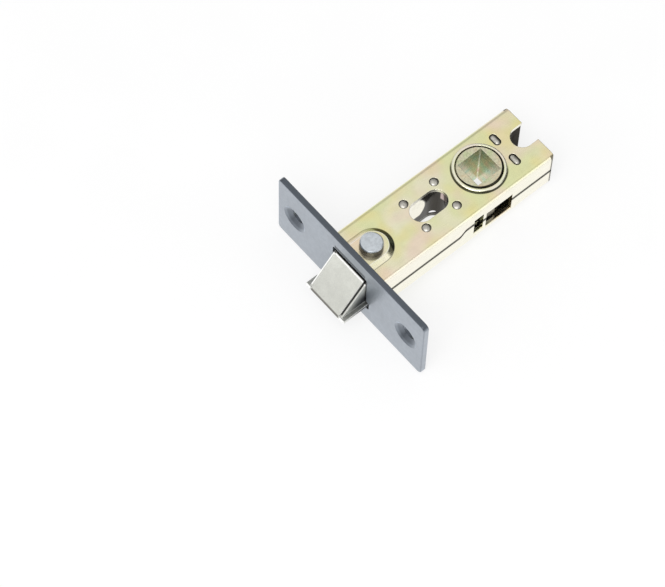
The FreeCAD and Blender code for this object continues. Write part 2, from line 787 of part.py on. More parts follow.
# Draw slide: one folded yoke whose legs carry windows for the follower's arms
def make_draw_slide():
    body = new_body("draw_slide")
    sketch = new_sketch(body, "YZ_Plane", yoke_front)
    draw_box(sketch, -leg_outside, -leg_half_height, leg_outside, leg_half_height)
    pad(body, sketch, size("yoke_thickness"))
    for across in (-1, 1):
        sketch = new_sketch(body, "XZ_Plane", leg_outside * across)
        draw_box(sketch, yoke_front, -leg_half_height, slide_rear, leg_half_height)
        pad(body, sketch, size("leg_thickness"), reverse=across > 0)
    sketch = new_sketch(body, "XZ_Plane")
    draw_box(sketch, pad_face - size("leg_window_length"), -arm_window, pad_face, arm_window)
    pocket(body, sketch, leg_outside * 3, both_sides=True)
    # The yoke drops over the bolt's tail through a slot that is open below
    sketch = new_sketch(body, "YZ_Plane", yoke_front)
    throat = size("tail_radius") + size("running_gap")
    draw_slot(sketch, -leg_half_height - throat, 0, 0, throat, upright=True)
    cut = pocket(body, sketch, size("yoke_thickness"), reverse=True)

    def fold(edge):
        middle = edge.CenterOfMass
        outside = abs(abs(middle.y) - leg_outside.value) < TOUCH
        return runs_along(edge, Z_AXIS) and outside and abs(middle.x - yoke_front.value) < TOUCH

    dress(body, "Fillet", cut, fold, size("yoke_thickness"))
    return body


# Latch bolt: wedge head on a wider base, its tail and the pin that joins them
def make_latch_bolt():
    body = new_body("latch_bolt")
    sketch = new_sketch(body, "XZ_Plane")
    draw_box(sketch, nose, -bolt_half_height, bolt_rear, base_top)
    base = pad(body, sketch, base_half_width * 2, both_sides=True)
    nose_edge = lambda edge: edge.BoundBox.XMax < nose.value + TOUCH
    dress(body, "Fillet", base, nose_edge, size("bolt_nose_radius"))
    drop = size("bolt_plate_rise")
    add_wedge(body, size("bolt_wedge_nose_inset"), drop, wedge_half_width)
    add_wedge(body, size("bolt_plate_nose_inset"), 0, plate_half_width)
    sketch = new_sketch(body, "YZ_Plane", tail_front)
    draw_circle(sketch, 0, 0, size("tail_radius"))
    pocket(body, sketch, size("tail_socket_depth"), reverse=True)
    drill_for_pin(body)
    return body


def add_wedge(body, nose_inset, drop, half_width):
    """A wedge on the bolt's base whose bevel lies the drop below the bevel's highest face."""
    root = base_top - size("bolt_wedge_root")
    front = nose + nose_inset
    top = bolt_half_height - drop
    sketch = new_sketch(body, "XZ_Plane")
    draw_outline(sketch, [
        (front, root), (front, base_top), (size("bolt_bevel_start") + drop, top),
        (bolt_rear, top), (bolt_rear, root),
    ])
    pad(body, sketch, half_width * 2, both_sides=True)


def make_bolt_tail():
    """A turned tube with a flange, which the yoke pulls, and a bore for the spring."""
    body = new_body("bolt_tail")
    radius = size("tail_radius")
    sketch = new_sketch(body, "XY_Plane")
    draw_outline(sketch, [
        (tail_front, 0), (tail_front, radius), (flange_rear, radius),
        (flange_rear, tail_bore), (bolt_rear, tail_bore), (bolt_rear, 0),
    ])
    revolve(body, sketch, "H_Axis")
    sketch = new_sketch(body, "YZ_Plane", flange_front)
    draw_box(sketch, -flange_half_width, -flange_half_height, flange_half_width, flange_half_height)
    draw_circle(sketch, 0, 0, tail_bore)
    pad(body, sketch, size("tail_flange_thickness"))
    drill_for_pin(body)
    return body


def drill_for_pin(body):
    sketch = new_sketch(body, "XZ_Plane")
    draw_circle(sketch, pin_x, 0, size("tail_pin_diameter") / 2)
    pocket(body, sketch, pin_half_length * 2, both_sides=True)


def make_tail_pin():
    body = new_body("bolt_tail_pin")
    sketch = new_sketch(body, "XZ_Plane")
    draw_circle(sketch, pin_x, 0, size("tail_pin_diameter") / 2)
    pad(body, sketch, pin_half_length * 2, both_sides=True)
    return body


# Bolt spring and its guide
def make_spring_guide():
    body = new_body("spring_guide")
    corner = size("guide_tip_chamfer")
    spigot_end = spacer_front + size("guide_spigot_depth")
    sketch = new_sketch(body, "XY_Plane")
    draw_outline(sketch, [
        (guide_tip, 0), (guide_tip, guide_radius - corner), (guide_tip + corner, guide_radius),
        (guide_collar_front, guide_radius), (guide_collar_front, spring_radius),
        (spacer_front, spring_radius), (spacer_front, guide_radius),
        (spigot_end, guide_radius), (spigot_end, 0),
    ])
    revolve(body, sketch, "H_Axis")
    return body


def make_bolt_spring():
    """A compression spring: round wire swept along a helix that runs along the bolt."""
    wire_radius = size("spring_wire") / 2
    start = bolt_rear + wire_radius + size("spring_end_gap")
    end = guide_collar_front - wire_radius - size("spring_end_gap")
    coil_radius = spring_radius - wire_radius
    helix = doc.addObject("Part::Helix", "spring_path")
    bind(helix, "Height", end - start)
    bind(helix, "Pitch", (end - start) / size("spring_turns"))
    bind(helix, "Radius", coil_radius)
    helix.Placement = FreeCAD.Placement(FreeCAD.Vector(), FreeCAD.Rotation(Y_AXIS, 90))
    bind(helix, "Placement.Base.x", start)
    section = doc.addObject("Part::Circle", "spring_section")
    bind(section, "Radius", wire_radius)
    section.Placement = FreeCAD.Placement(FreeCAD.Vector(), FreeCAD.Rotation(X_AXIS, 90))
    bind(section, "Placement.Base.x", start)
    bind(section, "Placement.Base.z", -coil_radius)
    doc.recompute()
    spring = doc.addObject("Part::Sweep", "bolt_spring")
    spring.Label = "bolt_spring"
    spring.Sections = [section]
    spring.Spine = (helix, [f"Edge{number + 1}" for number in range(len(helix.Shape.Edges))])
    spring.Solid = True
    spring.Frenet = True
    doc.recompute()
    return spring


def build_parts():
    return [
        make_forend(),
        make_case_shell("case_shell_upper", 1),
        make_case_shell("case_shell_lower", -1),
        make_case_rivet("case_rivet_upper", 1),
        make_case_rivet("case_rivet_lower", -1),
        make_front_spacer(),
        make_rear_spacer(),
        make_follower(),
        make_draw_slide(),
        make_latch_bolt(),
        make_bolt_tail(),
        make_tail_pin(),
        make_spring_guide(),
        make_bolt_spring(),
    ]


def check_document(parts):
    """Stop before anything is written if an object failed or a shape is unsound."""
    for item in doc.Objects:
        if "Invalid" in item.State or "Error" in item.State:
            raise RuntimeError(f"{item.Name} failed: {item.State}")
    for part in parts:
        if part.Shape.isNull() or not part.Shape.isValid():
            raise RuntimeError(f"{part.Label} has no sound shape")


def write_parts(parts):
    os.makedirs("parts", exist_ok=True)
    for part in parts:
        part.Shape.exportStep(f"parts/{part.Label}.step")
        box = part.Shape.BoundBox
        print(f"{part.Label}: {len(part.Shape.Solids)} solid, {part.Shape.Volume:.1f} mm3,"
              f" X {box.XMin:.2f} to {box.XMax:.2f}, Y {box.YMin:.2f} to {box.YMax:.2f},"
              f" Z {box.ZMin:.2f} to {box.ZMax:.2f}")


latch_parts = build_parts()
doc.recompute()
check_document(latch_parts)
write_parts(latch_parts)
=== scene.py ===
"""Tubular door latch: the finishes, small formed pieces and studio around its CAD frame."""

import bmesh
import bpy
from bpy.props import FloatProperty, FloatVectorProperty, PointerProperty
from mathutils import Matrix, Vector


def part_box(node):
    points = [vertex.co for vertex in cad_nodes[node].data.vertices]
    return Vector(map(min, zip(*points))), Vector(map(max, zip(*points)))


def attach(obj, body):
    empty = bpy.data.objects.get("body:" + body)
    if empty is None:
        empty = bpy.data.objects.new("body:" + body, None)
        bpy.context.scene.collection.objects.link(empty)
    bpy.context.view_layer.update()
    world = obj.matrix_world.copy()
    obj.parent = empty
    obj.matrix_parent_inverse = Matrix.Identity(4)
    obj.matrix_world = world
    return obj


bl_info = {
    "name": "Tubular door latch",
    "version": (1, 0, 0),
    "blender": (4, 5, 0),
    "location": "3D View > Sidebar > Latch",
    "description": "Finishes, peened stake ends and a pale studio for a sprung tubular latch",
    "category": "Object",
}

MM = 0.001

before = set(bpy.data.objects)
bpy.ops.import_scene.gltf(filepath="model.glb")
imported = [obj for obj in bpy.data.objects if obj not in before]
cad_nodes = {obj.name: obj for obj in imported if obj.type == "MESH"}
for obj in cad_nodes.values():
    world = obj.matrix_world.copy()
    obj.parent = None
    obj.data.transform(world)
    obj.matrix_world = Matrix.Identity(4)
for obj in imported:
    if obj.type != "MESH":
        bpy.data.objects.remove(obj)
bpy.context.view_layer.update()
case_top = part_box("front_spacer")[1].z
case_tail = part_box("case_shell_upper")[1].x
case_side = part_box("case_shell_upper")[1].y
rear_spacer_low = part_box("rear_spacer")[0]
follower_low, follower_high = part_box("follower")
hub_centre = (
    (follower_low.x + follower_high.x) / 2, (follower_low.y + follower_high.y) / 2, 0.0,
)


def screen_colour(red, green, blue):
    """The linear colour of a red, green and blue read from a screen, 0 to 255 each."""
    return tuple(
        level / 12.92 if level <= 0.04045 else ((level + 0.055) / 1.055) ** 2.4
        for level in (red / 255, green / 255, blue / 255)
    )


def colour_setting(name, description, *levels):
    """A colour that a user can change in the sidebar, given by its levels on a screen."""
    return FloatVectorProperty(
        name=name, description=description, default=screen_colour(*levels), size=3,
        min=0.0, max=1.0, subtype="COLOR",
    )


def length_setting(name, description, millimetres):
    """A length that a user can change in the sidebar."""
    return FloatProperty(
        name=name, description=description, default=millimetres * MM,
        min=0.0, precision=5, subtype="DISTANCE", unit="LENGTH",
    )


def level_setting(name, description, default, most):
    """A level of light that a user can change in the sidebar."""
    return FloatProperty(
        name=name, description=description, default=default, min=0.0, max=most, subtype="FACTOR",
    )


def power_setting(name, description, default):
    """A lamp's power that a user can change in the sidebar."""
    return FloatProperty(
        name=name, description=description, default=default,
        min=0.0, subtype="POWER", unit="POWER",
    )


class LatchSizes(bpy.types.PropertyGroup):
    """Sizes of the peened stake ends, and of the folds and shades that the finishes follow."""

    # Stake ends
    round_radius: length_setting("Round radius", "Radius of a round stake end", 1.21)
    pattern_x: length_setting(
        "Pattern centre", "From the forend's face to the middle of the four round stakes", 27.14)
    pitch_x: length_setting("Pitch along", "Spacing of the round stakes along the case", 10.4)
    pitch_y: length_setting("Pitch across", "Spacing of the round stakes across the case", 9.0)
    rear_inset: length_setting("Rear inset", "From the rear spacer's front to its stakes", 1.4)
    rear_pitch: length_setting(
        "Rear pitch", "Spacing of the rear spacer's stakes across the case", 7.7)
    rear_long: length_setting("Rear length", "Length of a rear stake across the case", 3.3)
    rear_short: length_setting("Rear width", "Width of a rear stake along the case", 1.7)
    crown: length_setting("Crown", "Height of the peened crown above the stake's end", 0.42)
    shoulder: length_setting("Shoulder", "Rounding at the edge of a stake's end", 0.22)
    # Case
    boss_centre: length_setting(
        "Boss centre", "From the forend's face to the middle of the boss's round end", 8.0)
    boss_foot: length_setting(
        "Boss foot", "From the boss's middle line to the foot of its slope", 5.3)
    boss_slope: length_setting("Boss slope", "Width of the boss's slope", 1.28)
    collar_radius: length_setting("Collar radius", "Radius of the rim round the follower", 7.32)
    sheet: length_setting("Sheet", "Thickness of the case's sheet", 1.1)
    flat_inside: length_setting(
        "Flat inside", "From the middle to the inner side of the case's flat faces", 5.67)
    seam_shade: length_setting(
        "Seam shade", "Half the width of the dark cut edges along the seam", 0.62)
    tab_start: length_setting(
        "Tab start", "From the forend's face to the start of the seam's tab", 29.2)
    tab_end: length_setting("Tab end", "From the forend's face to the end of the seam's tab", 34.2)
    tab_ramp: length_setting("Tab ramp", "Length of the slope that leads up to the tab", 2.4)
    tab_height: length_setting(
        "Tab height", "Height of the seam above the middle along its tab", 1.6)
    # Forend
    hole_offset: length_setting(
        "Hole offset", "From the forend's middle to the middle of each screw hole", 21.9)
    sink_radius: length_setting("Sink radius", "Radius of the shade in each screw hole", 4.3)
    throat_half_width: length_setting(
        "Throat half width", "From the middle to the sides of the dark inside of the opening", 7.6)
    throat_half_height: length_setting(
        "Throat half height", "From the middle to the top of the dark inside of the opening", 7.1)
    # Bolt
    plate_half_width: length_setting(
        "Plate half width", "From the bolt's middle to the edge of its bevel plate", 5.45)
    groove_width: length_setting(
        "Groove width", "Width of the dark joint beside the bevel plate", 0.42)
    # Follower
    face_radius: length_setting("Face radius", "Radius of the follower's face", 6.0)


class LatchColours(bpy.types.PropertyGroup):
    """Colours of the latch's finishes, and of the highlights and shade painted on them."""

    # Case
    zinc_green: colour_setting("Zinc green", "Green bloom of the case", 224, 226, 176)
    zinc_cream: colour_setting("Zinc cream", "Cream ground of the case", 233, 229, 198)
    zinc_pink: colour_setting("Zinc pink", "Pink bloom of the case", 236, 212, 196)
    zinc_gold: colour_setting("Zinc gold", "Gold bloom of the case", 234, 222, 158)
    # Painted light: the side walls are drawn paler, as lit.
    zinc_wall_light: colour_setting("Zinc wall", "Pale straw of the side walls", 255, 252, 238)
    # Painted highlight on the case's folds, rims and lips.
    zinc_highlight: colour_setting("Zinc rim", "Bright folds and rims of the case", 250, 248, 241)
    # Painted shade on the cut edges, widening the seam's dark joint.
    zinc_cut_shade: colour_setting("Zinc cut", "Cut edges at the seam and the tail", 66, 62, 44)
    # Painted shade inside the case.
    zinc_inside_shade: colour_setting("Zinc inside", "Shaded inside of the case", 66, 64, 58)
    # Painted shade at the collar's foot.
    collar_foot_shade: colour_setting("Collar foot", "Shaded foot of the collar", 54, 55, 42)
    # Painted shade on the boss's far slope, olive to the left and green to the right.
    slope_shade_left: colour_setting("Slope, left", "Shaded left part of the boss's slope", 128, 122, 74)
    slope_shade_right: colour_setting("Slope, right", "Shaded right part of the boss's slope", 50, 60, 50)
    # Forend
    forend: colour_setting("Forend", "Satin slate plating of the face", 138, 146, 156)
    # Painted shade: surfaces that face up are drawn darker than the lit face.
    forend_edge_shade: colour_setting("Forend edge", "Darker plating on the long edges", 76, 83, 92)
    # Wear on the corners, also a painted highlight.
    forend_wear_highlight: colour_setting("Forend, worn", "Plating worn on the corners", 150, 154, 160)
    # Painted shade inside the opening and painted shadow above the bolt.
    forend_throat_shade: colour_setting("Throat", "Dark inside of the bolt's opening", 16, 17, 18)
    forend_sink_shade: colour_setting("Screw sinks", "Shade in the screw holes", 24, 34, 48)
    forend_sheen: colour_setting("Forend sheen", "Bloom at low angles", 222, 236, 252)
    # Bolt
    bolt: colour_setting("Bolt", "Satin nickel of the plates", 225, 226, 218)
    bolt_core: colour_setting("Bolt core", "Sintered core at the sides", 42, 44, 48)
    # Painted highlight on the plates' rims, tips and edges.
    bolt_highlight: colour_setting("Bolt rim", "Bright edges of the plates", 252, 252, 250)
    # Painted shade along the nose's edge.
    bolt_lip_shade: colour_setting("Bolt lip", "Underside of the nose", 92, 88, 82)
    # Dark joint beside the plate, also the painted shadow inside the forend's opening.
    bolt_joint_shadow: colour_setting("Bolt joint", "Joint beside the plate", 29, 29, 29)
    # Rivets
    rivet: colour_setting("Rivet", "Blue-grey zinc of the rivets", 202, 208, 213)
    # Painted highlight on the head's edge.
    rivet_edge_highlight: colour_setting("Rivet edge", "Bright edge of a rivet's head", 239, 241, 244)
    # Painted shade on the head's side.
    rivet_side_shade: colour_setting("Rivet side", "Dark side of a rivet's head", 38, 34, 30)
    # Follower
    follower: colour_setting("Follower", "Yellow-green zinc of the face", 211, 207, 178)
    # Painted highlight on the face's edge.
    follower_edge_highlight: colour_setting("Follower edge", "Bright edge of the face", 239, 237, 223)
    # Dark gap round the face, widened on one side by painted shade.
    follower_joint_shade: colour_setting("Follower joint", "Gap round the face", 24, 24, 20)
    hole: colour_setting("Spindle hole", "Walls of the square hole", 206, 207, 180)
    # Painted light in the hole's far corner.
    hole_corner_light: colour_setting("Hole corner", "Light in the hole's far corner", 241, 240, 229)
    # Spacers and stakes
    # Burnished zinc, darkened to paint the shade in the fixing slot and the notch.
    spacer: colour_setting("Spacer", "Dark burnished zinc of the spacers", 54, 50, 43)
    # Painted light on the lit part of the slot's wall.
    spacer_lit_patch: colour_setting("Spacer, bright", "Bare zinc in the slot", 250, 246, 230)
    # Painted reflection at the slot's end.
    spacer_pink_reflection: colour_setting("Spacer, pink", "Pink patch at the slot's end", 226, 204, 198)
    # Painted highlight on the spacers' edges.
    spacer_edge_highlight: colour_setting("Spacer edge", "Bright edges of the spacers", 244, 242, 239)
    spacer_glint: colour_setting("Spacer glint", "Glint low in the slot", 253, 253, 253)
    stake: colour_setting("Stake", "Peened ends of the stakes", 198, 195, 186)
    # Inner works
    steel: colour_setting("Steel", "Plain steel of the slide, tail and guide", 150, 152, 154)
    # Painted highlight on the edges of plain steel.
    steel_edge_highlight: colour_setting("Steel edge", "Bright edges of plain steel", 228, 228, 228)
    spring: colour_setting("Spring", "Drawn wire of the bolt spring", 158, 162, 168)


class LatchStudio(bpy.types.PropertyGroup):
    """Levels of the studio's light."""

    overhead: level_setting("Overhead", "What polished metal mirrors from above", 0.96, 1.0)
    horizon: level_setting("Horizon", "What polished metal mirrors from the walls", 0.07, 1.0)
    back: level_setting("Back wall", "What polished metal mirrors from behind", 0.72, 1.0)
    fill: level_setting("Fill", "Soft light from all round on matt surfaces", 0.68, 2.0)
    floor_seen: level_setting("Floor", "How far the camera sees the floor as pure white", 0.75, 1.0)
    floor_mirrored: level_setting("Floor, mirrored", "The same in mirroring metal", 0.95, 1.0)
    key: power_setting("Key lamp", "Power of the soft lamp above the camera", 2.6)
    left_card: power_setting("Left card", "Power of the lit card at the bolt's left", 0.5)
    right_card: power_setting("Right card", "Power of the lit card at the bolt's right", 0.6)


class Socket:
    """A shader output that takes part in sums: each sum adds a Math node."""

    def __init__(self, finish, output):
        self.finish = finish
        self.output = output

    def also(self, identifier):
        """Another output of the same node."""
        return Socket(self.finish, self.output.node.outputs[identifier])

    def sum(self, operation, first, second, clamp=False):
        return self.finish.node(
            "ShaderNodeMath", {"operation": operation, "use_clamp": clamp},
            {"Value": first, "Value_001": second}, "Value",
        )

    def __add__(self, other):
        return self.sum("ADD", self, other)

    def __radd__(self, other):
        return self.sum("ADD", other, self)

    def __sub__(self, other):
        return self.sum("SUBTRACT", self, other)

    def __rsub__(self, other):
        return self.sum("SUBTRACT", other, self)

    def __mul__(self, other):
        return self.sum("MULTIPLY", self, other)

    def __rmul__(self, other):
        return self.sum("MULTIPLY", other, self)

    def __pow__(self, other):
        return self.sum("POWER", self, other)

    def __abs__(self):
        return self.sum("ABSOLUTE", self, 0.0)

    def at_least(self, level):
        return self.sum("MAXIMUM", self, level)

    def clamped(self):
        """The same value, kept from 0 to 1."""
        return self.sum("ADD", self, 0.0, clamp=True)


class Finish:
    """The node tree of a material or of the world, built one node at a time."""

    def __init__(self, tree):
        self.tree = tree
        self.tree.nodes.clear()

    def node(self, kind, settings, inputs, output):
        """Adds a node with its settings and its socket values or links, and returns an output."""
        node = self.tree.nodes.new(kind)
        for name, value in settings.items():
            if name == "stops":
                self.set_stops(node.color_ramp, value)
            else:
                setattr(node, name, value)
        unknown = set(inputs) - {socket.identifier for socket in node.inputs}
        if unknown:
            raise KeyError(f"{kind} has no sockets {sorted(unknown)}")
        for socket in node.inputs:
            value = inputs.get(socket.identifier)
            if isinstance(value, Socket):
                self.tree.links.new(value.output, socket)
            elif value is not None:
                lacks_alpha = socket.type == "RGBA" and len(value) == 3
                socket.default_value = (*value, 1.0) if lacks_alpha else value
        return Socket(self, node.outputs[output]) if output else None

    def set_stops(self, ramp, stops):
        ramp.interpolation = "EASE"
        while len(ramp.elements) < len(stops):
            ramp.elements.new(1.0)
        for element, (position, colour) in zip(ramp.elements, stops):
            element.position = position
            element.color = (*colour, 1.0)

    def object_place(self):
        return self.node("ShaderNodeTexCoord", {}, {}, "Object")

    def stretched(self, place, scale, centre=(0.0, 0.0, 0.0)):
        """The place seen from a centre and stretched along each axis."""
        moved = self.node(
            "ShaderNodeVectorMath", {"operation": "SUBTRACT"},
            {"Vector": place, "Vector_001": centre}, "Vector",
        )
        return self.node("ShaderNodeMapping", {}, {"Vector": moved, "Scale": scale}, "Vector")

    def axes(self, place):
        """The place's X, also its Y and Z."""
        return self.node("ShaderNodeSeparateXYZ", {}, {"Vector": place}, "X")

    def noise(self, place, scale, detail=2.0, roughness=0.5, distortion=0.0):
        sockets = {
            "Vector": place, "Scale": scale, "Detail": detail,
            "Roughness": roughness, "Distortion": distortion,
        }
        return self.node("ShaderNodeTexNoise", {"noise_dimensions": "3D"}, sockets, "Fac")

    def blend(self, factor, first, second, how="MIX"):
        return self.node(
            "ShaderNodeMix", {"data_type": "RGBA", "blend_type": how, "clamp_factor": True},
            {"Factor_Float": factor, "A_Color": first, "B_Color": second}, "Result",
        )

    def between(self, value, low, high, start=0.0, end=1.0):
        """Carries a value smoothly from the range low to high over to the range start to end."""
        sockets = {
            "Value": value, "From Min": low, "From Max": high, "To Min": start, "To Max": end,
        }
        return self.node(
            "ShaderNodeMapRange", {"interpolation_type": "SMOOTHSTEP"}, sockets, "Result",
        )

    def spread(self, noise, start, end):
        """Carries a noise, which lies mostly from 0.3 to 0.7, over to the range start to end."""
        return self.between(noise, 0.3, 0.7, start, end)

    def toned(self, colour, level):
        """The colour made darker or lighter by a level."""
        grey = self.node(
            "ShaderNodeCombineColor", {}, {"Red": level, "Green": level, "Blue": level}, "Color",
        )
        return self.blend(1.0, colour, grey, "MULTIPLY")

    def tinted(self, colour, noise, stops):
        """The colour tinted by a ramp along a noise."""
        tint = self.node("ShaderNodeValToRGB", {"stops": stops}, {"Fac": noise}, "Color")
        return self.blend(1.0, colour, tint, "MULTIPLY")

    def rounded(self, radius):
        """The normal with its sharp edges rounded, and a mask that is 1 on those edges."""
        normal = self.node("ShaderNodeBevel", {"samples": 6}, {"Radius": radius}, "Normal")
        plain = self.node("ShaderNodeNewGeometry", {}, {}, "Normal")
        agreement = self.node(
            "ShaderNodeVectorMath", {"operation": "DOT_PRODUCT"},
            {"Vector": normal, "Vector_001": plain}, "Value",
        )
        return normal, self.between(agreement, 0.995, 0.86)

    def distance(self, place, scale=(1.0, 1.0, 1.0), centre=(0.0, 0.0, 0.0)):
        """How far the place is from a centre, with each axis stretched first."""
        return self.node(
            "ShaderNodeVectorMath", {"operation": "LENGTH"},
            {"Vector": self.stretched(place, scale, centre)}, "Value",
        )

    def facing(self):
        """The way that the surface faces, by its X, also by its Y and Z."""
        return self.axes(self.node("ShaderNodeNewGeometry", {}, {}, "Normal"))

    def band(self, value, middle, half_width, soft):
        """1 where the value is within the half width of the middle, with a soft edge outside it."""
        return self.between(abs(value - middle), half_width + soft, half_width)

    def painted_hollow_shade(self, colour, reach, darkest):
        """The colour with painted shade, from ambient occlusion, in joints, corners and holes
        narrower than the reach.
        """
        hidden = self.node(
            "ShaderNodeAmbientOcclusion", {"samples": 8}, {"Distance": reach}, "AO",
        )
        open_sky = self.between(hidden, 0.25, 0.85)
        return self.toned(colour, open_sky * (1.0 - darkest) + darkest)

    def bump(self, height, strength, distance, normal):
        sockets = {"Height": height, "Strength": strength, "Distance": distance, "Normal": normal}
        return self.node("ShaderNodeBump", {}, sockets, "Normal")

    def metal(self, colour, roughness, normal, others=None):
        """The surface itself, joined to the material's output."""
        sockets = {
            "Base Color": colour, "Roughness": roughness, "Normal": normal, "Metallic": 1.0,
        }
        sockets.update(others or {})
        surface = self.node("ShaderNodeBsdfPrincipled", {}, sockets, "BSDF")
        self.node("ShaderNodeOutputMaterial", {}, {"Surface": surface}, None)


def new_finish(name):
    """An empty material of that name, its node tree and the place on its piece."""
    material = bpy.data.materials.new(name)
    material.use_nodes = True
    finish = Finish(material.node_tree)
    return material, finish, finish.object_place()


def give_finish(material, *pieces):
    """Puts the material into every slot of the pieces."""
    for piece in pieces:
        if not piece.data.materials:
            piece.data.materials.append(material)
        for number in range(len(piece.data.materials)):
            piece.data.materials[number] = material


def zinc_bloom(finish, place, colours):
    """Green and cream under gold and pink clouds that thicken toward the ends, with the side walls
    painted paler, as lit.
    """
    case_middle = 31.0 * MM
    from_middle = abs(finish.axes(place) - case_middle)
    toward_ends = finish.between(from_middle, 12.0 * MM, 30.0 * MM, 0.0, 0.10)
    ground = finish.between(finish.noise(place, 110.0, 1.0, 0.4), 0.42, 0.68)
    colour = finish.blend(ground, colours.zinc_green, colours.zinc_cream)
    for tint, shift, scale in (
        (colours.zinc_gold, (31.0 * MM, 0.0, 0.0), 150.0),
        (colours.zinc_pink, (-31.0 * MM, 13.0 * MM, 0.0), 125.0),
    ):
        moved = finish.stretched(place, (1.0, 1.0, 1.0), shift)
        cloud = finish.noise(moved, scale, 1.5, 0.4) + toward_ends
        colour = finish.blend(finish.between(cloud, 0.46, 0.74, 0.0, 0.7), colour, tint)
    # Painted light: walls that face sideways are drawn paler.
    wall = finish.between(abs(finish.facing().also("Y")), 0.45, 0.95, 0.0, 0.9)
    return finish.blend(wall, colour, colours.zinc_wall_light)


def boss_light_and_shade(finish, place, colour, colours, sizes):
    """The boss round the rivet: a painted highlight on its lip, painted shade on its far slope and
    a painted dark line at its foot.
    """
    along = finish.axes(place)
    across = along.also("Y")
    beyond = (along - sizes.boss_centre).at_least(0.0)
    from_foot = (beyond ** 2.0 + across ** 2.0) ** 0.5 - sizes.boss_foot
    lip = finish.band(from_foot, -sizes.boss_slope - 0.1 * MM, 0.05 * MM, 0.1 * MM)
    foot = finish.band(from_foot, 0.04 * MM, 0.05 * MM, 0.1 * MM)
    slope = finish.band(from_foot, -sizes.boss_slope / 2, sizes.boss_slope / 2, 0.06 * MM)
    far_slope = slope * finish.between(beyond, 2.8 * MM, 3.4 * MM)
    toward_left = finish.between(across, 2.5 * MM, -1.2 * MM)
    shade = finish.blend(toward_left, colours.slope_shade_left, colours.slope_shade_right)
    # Painted highlight on the lip, painted shade on the far slope and along the foot.
    colour = finish.blend(lip * 0.6, colour, colours.zinc_highlight)
    return finish.blend((far_slope + foot * 0.6).clamped() * 0.9, colour, shade)


def collar_light_and_shade(finish, place, colour, colours, sizes):
    """The collar round the follower: a painted highlight on its rim, and painted shade on its foot
    toward the forend.
    """
    along = finish.axes(place)
    from_hub = finish.distance(place, (1.0, 1.0, 0.0), hub_centre)
    rim = finish.band(from_hub, sizes.collar_radius - 0.4 * MM, 0.2 * MM, 0.2 * MM)
    foot = finish.band(from_hub, sizes.collar_radius + 0.12 * MM, 0.12 * MM, 0.16 * MM)
    toward_corner = along - hub_centre[0] + along.also("Y")
    near_foot = foot * finish.between(toward_corner, 3.0 * MM, -1.0 * MM)
    # Painted highlight on the rim, painted shade at the foot.
    colour = finish.blend(rim * 0.5, colour, colours.zinc_highlight)
    return finish.blend(near_foot * 0.85, colour, colours.collar_foot_shade)


def cut_edge_shade_mask(finish, place, edge, sizes):
    """1 on the case's cut edges, where shade is painted: along the seam, which rises over its tab,
    widening its dark joint, and round the tail.
    """
    along = finish.axes(place)
    across = abs(along.also("Y"))
    ramp_end = sizes.tab_start + sizes.tab_ramp
    seam_height = finish.between(along, sizes.tab_start, ramp_end, 0.0, sizes.tab_height)
    seam_height = seam_height * finish.between(along, sizes.tab_end + 0.1 * MM, sizes.tab_end)
    outside = finish.between(across, case_side - 0.3 * MM, case_side - 0.1 * MM)
    seam = finish.band(along.also("Z"), seam_height, sizes.seam_shade, 0.12 * MM) * outside
    tail = finish.between(along, case_tail - 0.7 * MM, case_tail - 0.4 * MM)
    tail_side = finish.between(along, case_tail - 1.2 * MM, case_tail - 1.0 * MM)
    tail_side = tail_side * finish.between(across, case_side - 0.9 * MM, case_side - 0.6 * MM)
    return (seam * 0.9 + edge * tail * 0.55 + tail_side * 0.85).clamped()


def case_inside_shade_mask(finish, place, sizes):
    """1 inside the case and on the lower cut edges of its windows, where shade is painted."""
    axes = finish.axes(place)
    across, height = axes.also("Y"), axes.also("Z")
    inner_side = case_side - sizes.sheet + 0.02 * MM
    inside = finish.band(across, 0.0, inner_side, 0.03 * MM)
    inside = inside * finish.band(height, 0.0, sizes.flat_inside - 0.05 * MM, 0.03 * MM)
    low = finish.between(height, -5.0 * MM, -5.5 * MM)
    upright = finish.between(abs(finish.facing().also("Z")), 0.5, 0.3)
    lower_cut = low * upright * finish.band(across, 0.0, 7.8 * MM, 0.4 * MM)
    return (inside + lower_cut).clamped()


def passivated_sheet(colours, sizes):
    """Rolled sheet in yellow passivated zinc, with soft bloom, painted highlights on its rims, and
    painted shade on its cut edges, inside it and in its hollows.
    """
    material, finish, place = new_finish("yellow_passivated_sheet")
    haze = finish.spread(finish.noise(place, 420.0, 3.0, 0.5), 0.965, 1.0)
    rolled = finish.stretched(place, (260.0, 3200.0, 3200.0))
    grain = finish.spread(finish.noise(rolled, 1.0, 3.0, 0.6), 0.98, 1.0)
    colour = finish.toned(zinc_bloom(finish, place, colours), haze * grain)
    normal, edge = finish.rounded(0.2 * MM)
    # Painted highlight on the sharp edges.
    colour = finish.blend(edge * 0.55, colour, colours.zinc_highlight)
    colour = boss_light_and_shade(finish, place, colour, colours, sizes)
    colour = collar_light_and_shade(finish, place, colour, colours, sizes)
    # Painted shade along the seam's joint and round the tail's cut edges.
    colour = finish.blend(cut_edge_shade_mask(finish, place, edge, sizes), colour, colours.zinc_cut_shade)
    inside = case_inside_shade_mask(finish, place, sizes)
    # Painted shade inside the case, seen through the windows.
    colour = finish.blend(inside * 0.9, colour, colours.zinc_inside_shade)
    # Painted shade in the case's hollows.
    colour = finish.painted_hollow_shade(colour, 0.6 * MM, 0.3)
    ripple = finish.noise(place, 700.0, 3.0, 0.5)
    roughness = finish.spread(finish.noise(place, 340.0, 2.0), 0.20, 0.28) - edge * 0.05
    normal = finish.bump(ripple + grain, 0.10, 0.03 * MM, normal)
    finish.metal(colour, roughness, normal, {"Metallic": 1.0 - inside * 0.7})
    return material


